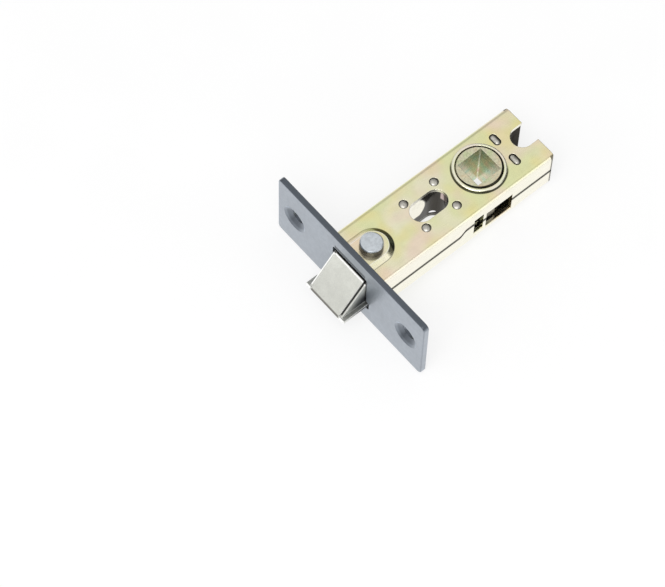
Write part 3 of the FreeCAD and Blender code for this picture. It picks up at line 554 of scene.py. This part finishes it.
def dark_plating(colours, sizes):
    """Dark satin plating: fine blasted grain, a soft bloom at low angles, and worn edges that also
    carry a painted highlight, with the face painted lighter than its upturned edges and painted
    shade in the opening, the screw holes and the hollows.
    """
    material, finish, place = new_finish("dark_satin_plating")
    cloud = finish.spread(finish.noise(place, 120.0, 3.0, 0.55), 0.93, 1.05)
    speck = finish.spread(finish.noise(place, 5200.0, 2.0, 0.6), 0.91, 1.08)
    # Painted light: the face is drawn lighter and the long edges that face up darker.
    upward = finish.between(abs(finish.facing().also("Z")), 0.35, 0.8)
    colour = finish.toned(finish.blend(upward, colours.forend, colours.forend_edge_shade), cloud * speck)
    normal, edge = finish.rounded(0.2 * MM)
    # Wear and a painted highlight on the rounded edges.
    worn = edge * finish.between(finish.noise(place, 700.0, 3.0, 0.65), 0.42, 0.66)
    colour = finish.blend(worn * 0.55, colour, colours.forend_wear_highlight)

    depth = finish.axes(place)
    across, height = depth.also("Y"), depth.also("Z")
    # Painted shade inside the bolt's opening.
    throat = finish.between(depth, 0.12 * MM, 0.26 * MM)
    throat = throat * finish.band(across, 0.0, sizes.throat_half_width, 0.2 * MM)
    throat = throat * finish.band(height, 0.0, sizes.throat_half_height, 0.1 * MM)
    above_bolt = finish.band(height, 6.9 * MM, 1.3 * MM, 0.4 * MM)
    shadow = above_bolt * finish.band(across, 0.0, 5.8 * MM, 0.4 * MM) * 0.9
    # Painted shade in the screw holes.
    from_hole = ((abs(across) - sizes.hole_offset) ** 2.0 + height ** 2.0) ** 0.5
    sink = finish.between(from_hole, sizes.sink_radius + 0.2 * MM, sizes.sink_radius)
    sink = sink * finish.band(depth, 0.9 * MM, 0.3 * MM, 0.3 * MM)
    colour = finish.blend((throat + shadow).clamped(), colour, colours.forend_throat_shade)
    colour = finish.blend(sink * 0.4, colour, colours.forend_sink_shade)
    # Painted shade in the forend's hollows, also beside the bolt.
    colour = finish.painted_hollow_shade(colour, 1.6 * MM, 0.12)
    roughness = finish.spread(finish.noise(place, 800.0, 3.0), 0.34, 0.46) - worn * 0.08
    normal = finish.bump(finish.noise(place, 6500.0, 2.0, 0.6), 0.25, 0.02 * MM, normal)
    finish.metal(colour, roughness, normal, {
        "Coat Weight": (1.0 - shadow) * 0.9, "Coat Roughness": 0.32,
        "Sheen Weight": 0.8, "Sheen Roughness": 0.3, "Sheen Tint": colours.forend_sheen,
    })
    return material


def bolt_nickel(colours, sizes):
    """Satin nickel plates with fine speckle over the dark sintered core at the bolt's sides, with
    painted highlights on rims, tips and edges, and painted shade on the base, the nose's edge, the
    core by the root and inside the forend's opening.
    """
    material, finish, place = new_finish("satin_nickel_bolt")
    along = finish.axes(place)
    across, rise = along.also("Y"), along.also("Z")
    from_middle = abs(across)
    plate_edge = sizes.plate_half_width
    base_top = -4.2 * MM
    nose = -8.1 * MM

    speck = finish.spread(finish.noise(place, 4200.0, 3.0, 0.7), 0.89, 1.03)
    cloud = finish.spread(finish.noise(place, 360.0, 3.0, 0.55), 0.96, 1.03)
    toward_root = finish.between(along, -8.0 * MM, 0.5 * MM, 0.90, 1.02)
    plate = finish.toned(colours.bolt, speck * cloud * toward_root)
    # Painted shade on the top of the base behind the nose.
    on_base = finish.between(rise, base_top, base_top - 0.2 * MM)
    behind_nose = finish.between(along, nose, nose + 0.4 * MM)
    plate = finish.blend(on_base * behind_nose * 0.6, plate, colours.bolt_core)
    # Painted shade: the core's sides darken toward the root by the forend.
    from_root = finish.distance(place, (1.0, 0.0, 1.0), (0.0, 0.0, base_top))
    toward_rim = finish.between(from_root, 1.8 * MM, 8.0 * MM)
    core = finish.toned(finish.blend(toward_rim, colours.bolt_core, colours.bolt), speck)
    side = finish.between(abs(finish.facing().also("Y")), 0.55, 0.8)
    colour = finish.blend(side, plate, core)

    normal, edge = finish.rounded(0.26 * MM)
    above_base = finish.between(rise, base_top + 0.1 * MM, base_top + 0.4 * MM)
    right_side = finish.between(across, 1.0 * MM, -1.0 * MM)
    left_side = finish.between(across, -1.0 * MM, 1.0 * MM)
    groove_end = plate_edge + sizes.groove_width
    groove = finish.between(from_middle, plate_edge - 0.02 * MM, plate_edge + 0.02 * MM)
    groove = groove * finish.between(from_middle, groove_end + 0.06 * MM, groove_end)
    groove = groove * above_base * right_side
    on_nose = finish.between(along, nose + 0.2 * MM, nose)
    # Painted shade along the nose's edge between its tips.
    lip = on_nose * finish.between(from_middle, plate_edge, plate_edge - 0.2 * MM)
    # Painted highlights on the nose's tips, the plate's left rim, its root and its sharp edges.
    tip = on_nose * finish.between(from_middle, plate_edge + 0.1 * MM, plate_edge + 0.4 * MM)
    left_rim = finish.band(from_middle, plate_edge + 0.7 * MM, 0.1 * MM, 0.1 * MM) * left_side
    root_rim = finish.band(along, -0.14 * MM, 0.08 * MM, 0.1 * MM)
    rim = (left_rim + root_rim).clamped() * above_base * (1.0 - side)
    bright = (edge + rim + tip).clamped()
    # Painted shadow on the part of the bolt that lies inside the forend's opening.
    inside = finish.between(along, 0.0, 0.15 * MM)
    colour = finish.blend(bright, colour, colours.bolt_highlight)
    colour = finish.blend(lip * 0.8, colour, colours.bolt_lip_shade)
    dark = (groove * 0.95 + inside * 0.9).clamped()
    # Painted shade in the bolt's hollows.
    colour = finish.painted_hollow_shade(finish.blend(dark, colour, colours.bolt_joint_shadow), 0.7 * MM, 0.3)

    roughness = finish.spread(finish.noise(place, 900.0, 2.0), 0.30, 0.40) + side * 0.08
    normal = finish.bump(finish.noise(place, 5200.0, 3.0, 0.65), 0.35, 0.02 * MM, normal)
    metallic = (1.0 - side * 0.6 - bright * 0.9).clamped()
    finish.metal(colour, roughness, normal, {"Metallic": metallic})
    return material


def rivet_zinc(colours):
    """Blue-grey zinc, headed cold, with a mottled crown, a painted highlight on the head's edge and
    painted shade on its side and round it.
    """
    material, finish, place = new_finish("blue_grey_zinc")
    mottle = finish.spread(finish.noise(place, 1100.0, 4.0, 0.65, 0.4), 0.86, 1.10)
    normal, edge = finish.rounded(0.18 * MM)
    # Painted highlight on the head's edge.
    colour = finish.blend(edge * 0.4, finish.toned(colours.rivet, mottle), colours.rivet_edge_highlight)
    # Painted shade on the side of the head.
    side = finish.between(abs(finish.facing().also("Z")), 0.5, 0.2)
    colour = finish.blend(side, colour, colours.rivet_side_shade)
    # Painted shade round the rivet's head.
    colour = finish.painted_hollow_shade(colour, 1.4 * MM, 0.15)
    roughness = finish.spread(finish.noise(place, 1500.0, 2.0), 0.30, 0.46)
    normal = finish.bump(finish.noise(place, 2600.0, 3.0, 0.6), 0.30, 0.03 * MM, normal)
    finish.metal(colour, roughness, normal, {"Metallic": 1.0 - side * 0.9})
    return material


def follower_zinc(colours, sizes):
    """Yellow-green zinc over a turned hub, with fine rings round its axis, painted light in the
    spindle hole's far corner, a painted highlight on the face's edge and a dark gap round the face,
    widened on one side by painted shade.
    """
    material, finish, place = new_finish("yellow_green_zinc_hub")
    flat = finish.axes(finish.stretched(place, (1.0, 1.0, 0.0), hub_centre))
    reach = finish.distance(place, (1.0, 1.0, 0.0), hub_centre)
    height = finish.axes(place).also("Z")
    bloom = finish.noise(place, 330.0, 3.0, 0.55, 0.4)
    face = finish.tinted(colours.follower, bloom, [
        (0.34, (0.90, 1.0, 0.86)), (0.50, (1.0, 1.0, 1.0)), (0.64, (1.08, 0.97, 0.92)),
    ])
    # Painted light in the spindle hole's far corner.
    far_corner = finish.between(flat + flat.also("Y"), 7.4 * MM, 7.7 * MM, 0.0, 0.8)
    wall = finish.blend(far_corner, colours.hole, colours.hole_corner_light)
    iris = finish.noise(place, 210.0, 2.0, 0.5, 0.3)
    wall = finish.tinted(wall, iris, [
        (0.38, (0.78, 1.0, 0.98)), (0.50, (1.0, 1.0, 0.88)), (0.62, (1.12, 0.92, 0.88)),
    ])
    wall = finish.toned(wall, finish.between(height, -3.0 * MM, 6.0 * MM, 1.0, 0.68))
    on_wall = finish.between(abs(finish.facing().also("Z")), 0.6, 0.3)
    face_edge = sizes.face_radius
    on_wall = on_wall * finish.between(reach, face_edge - 0.1 * MM, face_edge - 0.2 * MM)
    shade = finish.spread(finish.noise(place, 1700.0, 3.0, 0.65), 0.80, 1.10)
    colour = finish.toned(finish.blend(on_wall, face, wall), shade)
    normal, edge = finish.rounded(0.16 * MM)
    # Painted highlight on the sharp edges.
    colour = finish.blend(edge * 0.5, colour, colours.follower_edge_highlight)
    # Dark gap round the face, leaning to one side as painted shade.
    leaning = reach - flat.also("Y") * 0.05
    joint = finish.between(leaning, face_edge, face_edge + 0.1 * MM, 0.0, 0.95)
    colour = finish.blend(joint, colour, colours.follower_joint_shade)
    ringed = finish.node(
        "ShaderNodeCombineXYZ", {}, {"X": reach * 9000.0, "Z": height * 900.0}, "Vector",
    )
    rings = finish.noise(ringed, 1.0, 2.0)
    normal = finish.bump(rings, 0.12, 0.02 * MM, normal)
    finish.metal(colour, finish.spread(rings, 0.22, 0.34), normal)
    return material


def spacer_zinc(colours):
    """Burnished zinc of the spacers, drawn dark as painted shade in the slot and the notch, with
    painted light, a painted reflection and a painted glint in patches of the fixing slot.
    """
    material, finish, place = new_finish("burnished_spacer_zinc")
    streak = finish.noise(finish.stretched(place, (2600.0, 2600.0, 240.0)), 1.0, 3.0, 0.6)
    along = finish.axes(place)
    across, height = along.also("Y"), along.also("Z")
    bowed = along + abs(height - 1.2 * MM) ** 2.0 * 100.0
    # Painted light on the lit part of the slot's wall.
    bright = finish.between(bowed, 28.7 * MM, 28.2 * MM)
    bright = bright * finish.between(height, -3.0 * MM, -2.4 * MM)
    # Painted reflection: a pink patch at the slot's end.
    slot_end = finish.band(along, 32.2 * MM, 0.7 * MM, 0.2 * MM)
    slot_end = slot_end * finish.band(across, 0.3 * MM, 0.9 * MM, 0.3 * MM)
    slot_end = slot_end * finish.between(height, 2.4 * MM, 3.0 * MM)
    # Painted glint low in the slot.
    glint_centre = (30.8 * MM, 0.0, -4.6 * MM)
    from_glint = finish.distance(place, (1.0, 0.0, 1.9), glint_centre)
    glint = finish.between(from_glint, 0.9 * MM, 0.7 * MM)
    colour = finish.toned(colours.spacer, finish.spread(streak, 0.84, 1.06))
    colour = finish.blend(bright, colour, colours.spacer_lit_patch)
    colour = finish.blend(slot_end * 0.7, colour, colours.spacer_pink_reflection)
    colour = finish.blend(glint, colour, colours.spacer_glint)
    normal, edge = finish.rounded(0.14 * MM)
    # Painted highlight on the sharp edges.
    colour = finish.blend(edge * 0.4, colour, colours.spacer_edge_highlight)
    rear = finish.between(along, 45.0 * MM, 50.0 * MM)
    roughness = finish.spread(finish.noise(place, 700.0, 2.0), 0.10, 0.22) + rear * 0.3
    normal = finish.bump(streak, 0.10, 0.02 * MM, normal)
    finish.metal(
        colour, roughness, normal, {"Metallic": 1.0 - rear * 0.95, "Specular IOR Level": 0.02},
    )
    return material


def peened_zinc(colours):
    """Grey zinc of the stake ends, hammered over and speckled, with painted shade in its hollows.
    """
    material, finish, place = new_finish("peened_stake_zinc")
    dimples = finish.noise(place, 2600.0, 3.0, 0.6)
    mottle = finish.spread(finish.noise(place, 1500.0, 3.0, 0.65), 0.76, 1.04)
    # Painted shade in the stake's hollows.
    colour = finish.painted_hollow_shade(finish.toned(colours.stake, mottle), 0.6 * MM, 0.12)
    normal = finish.bump(dimples, 0.35, 0.04 * MM, finish.rounded(0.1 * MM)[0])
    finish.metal(colour, finish.spread(dimples, 0.34, 0.50), normal)
    return material


def plain_steel(name, base, colours, streak_scale):
    """Bright drawn or pressed steel with a light film of oil and fine streaks, a faint painted
    highlight on its edges and painted shade in hollows and inside the case.
    """
    material, finish, place = new_finish(name)
    streak = finish.noise(finish.stretched(place, streak_scale), 1.0, 3.0, 0.6)
    stain = finish.between(finish.noise(place, 300.0, 4.0, 0.6), 0.35, 0.7, 0.84, 1.04)
    colour = finish.toned(base, stain * finish.spread(streak, 0.90, 1.06))
    normal, edge = finish.rounded(0.12 * MM)
    # Faint painted highlight on the sharp edges.
    colour = finish.blend(edge * 0.15, colour, colours.steel_edge_highlight)
    # Painted shade in hollows, reaching far enough to darken the works inside the case.
    colour = finish.painted_hollow_shade(colour, 7.0 * MM, 0.06)
    normal = finish.bump(streak, 0.2, 0.02 * MM, normal)
    finish.metal(colour, finish.spread(streak, 0.24, 0.38), normal)
    return material


def start_piece(name, add_primitive, **sizes):
    """Adds one primitive with nothing else selected, names it and opens it for editing."""
    bpy.ops.object.select_all(action="DESELECT")
    add_primitive(**sizes)
    piece = bpy.context.active_object
    piece.name = name
    piece.data.name = name
    bpy.ops.object.transform_apply(location=True, rotation=True, scale=True)
    bpy.ops.object.mode_set(mode="EDIT")
    bpy.ops.mesh.select_mode(type="FACE")
    return piece


def start_stake(name, radius, corners):
    """A round stake end that stands up out of its hole in the case's upper face."""
    return start_piece(
        name, bpy.ops.mesh.primitive_cylinder_add, vertices=corners, radius=radius,
        depth=0.6 * MM, location=(0.0, 0.0, case_top - 0.25 * MM),
    )


def crown_end(piece, inset, crown, shoulder):
    """Peens the end that faces up: ring by ring it is inset and raised, and its shoulder rolled."""
    bpy.ops.mesh.select_all(action="DESELECT")
    shape = bmesh.from_edit_mesh(piece.data)
    for face in shape.faces:
        face.select_set(face.normal.z > 0.9)
    bmesh.update_edit_mesh(piece.data)
    for inset_share, crown_share in ((0.16, 0.42), (0.24, 0.30), (0.26, 0.18), (0.22, 0.10)):
        bpy.ops.mesh.inset(thickness=inset * inset_share)
        bpy.ops.transform.translate(value=(0.0, 0.0, crown * crown_share))
    bpy.ops.object.mode_set(mode="OBJECT")
    roll = piece.modifiers.new("shoulder", "BEVEL")
    roll.width = shoulder
    roll.segments = 3
    roll.limit_method = "ANGLE"
    roll.angle_limit = 0.9
    bpy.ops.object.modifier_apply(modifier=roll.name)
    bpy.ops.object.shade_smooth_by_angle(angle=0.7)


def placed_copies(piece, body, offsets):
    """Copies the piece, each copy with its own mesh, to each offset on both faces of the case."""
    copies = []
    for number, offset in enumerate(offsets, 1):
        for side in ("upper", "lower"):
            copy = piece.copy()
            copy.data = piece.data.copy()
            copy.name = f"{piece.name}_{side}_{number}"
            copy.data.name = copy.name
            copy.data.transform(Matrix.Translation(offset))
            if side == "lower":
                copy.data.transform(Matrix.Scale(-1.0, 4, (0.0, 0.0, 1.0)))
                copy.data.flip_normals()
            bpy.context.collection.objects.link(copy)
            copies.append(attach(copy, body))
    bpy.data.objects.remove(piece)
    return copies


class LATCH_OT_round_stakes(bpy.types.Operator):
    """Peen the four round stakes of the front spacer on both faces of the case"""

    bl_idname = "latch.round_stakes"
    bl_label = "Round stake ends"

    def execute(self, context):
        sizes = context.scene.latch_sizes
        stake = start_stake("round_stake", sizes.round_radius, corners=40)
        crown_end(stake, sizes.round_radius * 0.8, sizes.crown, sizes.shoulder)
        offsets = [
            Vector((sizes.pattern_x + along * sizes.pitch_x / 2, across * sizes.pitch_y / 2, 0.0))
            for along in (-1, 1) for across in (-1, 1)
        ]
        copies = placed_copies(stake, "case", offsets)
        give_finish(peened_zinc(context.scene.latch_colours), *copies)
        return {"FINISHED"}


class LATCH_OT_oblong_stakes(bpy.types.Operator):
    """Peen the two oblong stakes of the rear spacer on both faces of the case"""

    bl_idname = "latch.oblong_stakes"
    bl_label = "Oblong stake ends"

    def execute(self, context):
        sizes = context.scene.latch_sizes
        radius = sizes.rear_short / 2
        stake = start_stake("oblong_stake", radius, corners=32)
        self.draw_out(stake, radius, (sizes.rear_long - sizes.rear_short) / 2)
        crown_end(stake, radius * 0.8, sizes.crown, sizes.shoulder)
        offsets = [
            Vector((
                rear_spacer_low.x + sizes.rear_inset, across * sizes.rear_pitch / 2, 0.0,
            ))
            for across in (-1, 1)
        ]
        copies = placed_copies(stake, "case", offsets)
        give_finish(peened_zinc(context.scene.latch_colours), *copies)
        return {"FINISHED"}

    def draw_out(self, stake, radius, straight):
        """Cuts the round stake across its middle and pulls its halves apart."""
        bpy.ops.mesh.select_all(action="SELECT")
        bpy.ops.mesh.bisect(plane_co=(0.0, 0.0, case_top), plane_no=(0.0, 1.0, 0.0))
        bpy.ops.mesh.select_mode(type="VERT")
        for across in (-1, 1):
            bpy.ops.mesh.select_all(action="DESELECT")
            shape = bmesh.from_edit_mesh(stake.data)
            for vertex in shape.verts:
                vertex.select_set(vertex.co.y * across > radius * 0.02)
            shape.select_flush_mode()
            bmesh.update_edit_mesh(stake.data)
            bpy.ops.transform.translate(value=(0.0, across * straight, 0.0))
        bpy.ops.mesh.select_mode(type="FACE")


class LATCH_OT_case(bpy.types.Operator):
    """Finish the two case shells, their rivets and the spacers between them"""

    bl_idname = "latch.case"
    bl_label = "Case and rivets"

    def execute(self, context):
        colours = context.scene.latch_colours
        sheet = passivated_sheet(colours, context.scene.latch_sizes)
        give_finish(sheet, cad_nodes["case_shell_upper"], cad_nodes["case_shell_lower"])
        rivets = cad_nodes["case_rivet_upper"], cad_nodes["case_rivet_lower"]
        give_finish(rivet_zinc(colours), *rivets)
        give_finish(spacer_zinc(colours), cad_nodes["front_spacer"], cad_nodes["rear_spacer"])
        return {"FINISHED"}


class LATCH_OT_forend(bpy.types.Operator):
    """Finish the forend in dark satin plating"""

    bl_idname = "latch.forend"
    bl_label = "Forend"

    def execute(self, context):
        plating = dark_plating(context.scene.latch_colours, context.scene.latch_sizes)
        give_finish(plating, cad_nodes["forend"])
        return {"FINISHED"}


class LATCH_OT_bolt(bpy.types.Operator):
    """Finish the latch bolt in satin nickel over its dark core"""

    bl_idname = "latch.bolt"
    bl_label = "Latch bolt"

    def execute(self, context):
        nickel = bolt_nickel(context.scene.latch_colours, context.scene.latch_sizes)
        give_finish(nickel, cad_nodes["latch_bolt"])
        return {"FINISHED"}


class LATCH_OT_follower(bpy.types.Operator):
    """Finish the follower in yellow-green zinc with fine turned rings"""

    bl_idname = "latch.follower"
    bl_label = "Follower"

    def execute(self, context):
        zinc = follower_zinc(context.scene.latch_colours, context.scene.latch_sizes)
        give_finish(zinc, cad_nodes["follower"])
        return {"FINISHED"}


class LATCH_OT_works(bpy.types.Operator):
    """Finish the slide, the bolt's tail and pin, the spring and its guide"""

    bl_idname = "latch.works"
    bl_label = "Inner works"

    def execute(self, context):
        colours = context.scene.latch_colours
        for name, base, streak_scale, pieces in (
            ("pressed_steel", colours.steel, (240.0, 2800.0, 2800.0), ["draw_slide"]),
            ("turned_steel", colours.steel, (2800.0, 240.0, 240.0),
             ["bolt_tail", "bolt_tail_pin", "spring_guide"]),
            ("drawn_wire", colours.spring, (1800.0, 900.0, 900.0), ["bolt_spring"]),
        ):
            steel = plain_steel(name, base, colours, streak_scale)
            give_finish(steel, *(cad_nodes[piece] for piece in pieces))
        return {"FINISHED"}


class LATCH_OT_stage(bpy.types.Operator):
    """Set up the pale floor, the soft light and the camera"""

    bl_idname = "latch.stage"
    bl_label = "Floor, light and camera"

    def execute(self, context):
        studio = context.scene.latch_studio
        self.lay_floor(studio)
        self.light_room(context, studio)
        self.hang_lamp(context, "front_lamp", (-0.30, -0.20, 0.66), 0.5, 0.5, studio.key)
        self.hang_lamp(context, "left_card", (-0.53, 0.21, 0.125), 0.45, 0.35, studio.left_card)
        self.hang_lamp(context, "right_card", (0.21, -0.53, 0.205), 0.45, 0.35, studio.right_card)
        self.place_camera(context)
        return {"FINISHED"}

    def lay_floor(self, studio):
        """A white floor that the latch rests on by the forend's lower edge and the case's tail."""
        forend_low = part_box("forend")[0]
        case_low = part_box("case_shell_lower")[0]
        case_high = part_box("case_shell_lower")[1]
        boss_rise = 1.0 * MM
        flat_low = -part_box("case_shell_upper")[1].z + boss_rise
        slope = (flat_low - forend_low.z) / (case_high.x - case_low.x)
        floor = start_piece("floor", bpy.ops.mesh.primitive_plane_add, size=4.0)
        shape = bmesh.from_edit_mesh(floor.data)
        for vertex in shape.verts:
            vertex.co.z = forend_low.z + (vertex.co.x - case_low.x) * slope
        bmesh.update_edit_mesh(floor.data)
        bpy.ops.mesh.subdivide(number_cuts=4)
        bpy.ops.object.mode_set(mode="OBJECT")
        give_finish(self.white_paper(studio), floor)

    def white_paper(self, studio):
        """Pale paper that keeps the latch's shadow and is seen as white by camera and mirrors."""
        material, finish, place = new_finish("white_floor")
        ray = finish.node("ShaderNodeLightPath", {}, {}, "Is Camera Ray")
        mirrored = ray.also("Is Glossy Ray") * studio.floor_mirrored
        seen = (ray * studio.floor_seen + mirrored + ray.also("Is Transmission Ray")).clamped()
        ground = finish.toned((1.0, 1.0, 1.0), finish.spread(finish.noise(place, 30.0), 0.9, 0.93))
        paper = finish.node("ShaderNodeBsdfDiffuse", {}, {"Color": ground}, "BSDF")
        white = finish.node(
            "ShaderNodeEmission", {}, {"Color": (1.0, 1.0, 1.0), "Strength": 1.0}, "Emission",
        )
        surface = finish.node(
            "ShaderNodeMixShader", {}, {"Fac": seen, "Shader": paper, "Shader_001": white},
            "Shader",
        )
        finish.node("ShaderNodeOutputMaterial", {}, {"Surface": surface}, None)
        return material

    def light_room(self, context, studio):
        """A white room: metal mirrors a bright ceiling and dim walls, the rest gets a soft fill."""
        world = bpy.data.worlds.new("studio")
        world.use_nodes = True
        context.scene.world = world
        finish = Finish(world.node_tree)
        direction = finish.axes(finish.node("ShaderNodeTexCoord", {}, {}, "Generated"))
        ceiling = finish.between(direction.also("Z"), 0.5, 0.8)
        back = finish.between(direction.also("Y"), 0.55, 0.85, 0.0, studio.back)
        lit = ceiling + back * (1.0 - ceiling)
        mirrored = lit * (studio.overhead - studio.horizon) + studio.horizon
        ray = finish.node("ShaderNodeLightPath", {}, {}, "Is Camera Ray")
        seen = (ray + ray.also("Is Transmission Ray")).clamped()
        glossy = ray.also("Is Glossy Ray")
        room = glossy * mirrored + (1.0 - glossy) * studio.fill
        background = finish.node(
            "ShaderNodeBackground", {},
            {"Color": (1.0, 1.0, 1.0), "Strength": seen + (1.0 - seen) * room}, "Background",
        )
        finish.node("ShaderNodeOutputWorld", {}, {"Surface": background}, None)

    def hang_lamp(self, context, name, place, width, height, power):
        """A soft oblong lamp that faces the latch and isn't seen itself."""
        lamp = bpy.data.lights.new(name, "AREA")
        lamp.shape = "RECTANGLE"
        lamp.size = width
        lamp.size_y = height
        lamp.energy = power
        lamp_object = bpy.data.objects.new(name, lamp)
        lamp_object.location = place
        latch_middle = Vector((20.0 * MM, 0.0, 0.0))
        aim = latch_middle - lamp_object.location
        lamp_object.rotation_euler = aim.to_track_quat("-Z", "Y").to_euler()
        lamp_object.visible_camera = False
        context.collection.objects.link(lamp_object)

    def place_camera(self, context):
        """The photograph's viewpoint, above the forend's left end."""
        camera = bpy.data.cameras.new("camera")
        camera.lens = 158.003
        camera.sensor_width = 36.0
        camera.clip_start = 0.01
        camera_object = bpy.data.objects.new("camera", camera)
        camera_object.location = (-0.2395318, -0.26028823, 0.65954322)
        camera_object.rotation_euler = (0.48605992, -0.01567062, -0.70251627)
        context.collection.objects.link(camera_object)
        context.scene.camera = camera_object
        context.scene.view_settings.view_transform = "Standard"


class LATCH_PT_sidebar(bpy.types.Panel):
    """The latch's pieces, sizes and colours."""

    bl_label = "Tubular latch"
    bl_idname = "LATCH_PT_sidebar"
    bl_space_type = "VIEW_3D"
    bl_region_type = "UI"
    bl_category = "Latch"

    def draw(self, context):
        scene = context.scene
        for group in (scene.latch_sizes, scene.latch_colours, scene.latch_studio):
            box = self.layout.box()
            for name in group.__annotations__:
                box.prop(group, name)
        for operator in operators:
            self.layout.operator(operator.bl_idname)


operators = (
    LATCH_OT_case,
    LATCH_OT_forend,
    LATCH_OT_bolt,
    LATCH_OT_follower,
    LATCH_OT_works,
    LATCH_OT_round_stakes,
    LATCH_OT_oblong_stakes,
    LATCH_OT_stage,
)
groups = (LatchSizes, LatchColours, LatchStudio)


def register():
    for item in (*groups, *operators, LATCH_PT_sidebar):
        bpy.utils.register_class(item)
    bpy.types.Scene.latch_sizes = PointerProperty(type=LatchSizes)
    bpy.types.Scene.latch_colours = PointerProperty(type=LatchColours)
    bpy.types.Scene.latch_studio = PointerProperty(type=LatchStudio)


def unregister():
    del bpy.types.Scene.latch_studio
    del bpy.types.Scene.latch_colours
    del bpy.types.Scene.latch_sizes
    for item in (LATCH_PT_sidebar, *reversed(operators), *reversed(groups)):
        bpy.utils.unregister_class(item)


def main():
    register()
    bpy.ops.latch.case()
    bpy.ops.latch.forend()
    bpy.ops.latch.bolt()
    bpy.ops.latch.follower()
    bpy.ops.latch.works()
    bpy.ops.latch.round_stakes()
    bpy.ops.latch.oblong_stakes()
    bpy.ops.latch.stage()


if __name__ == "__main__":
    main()
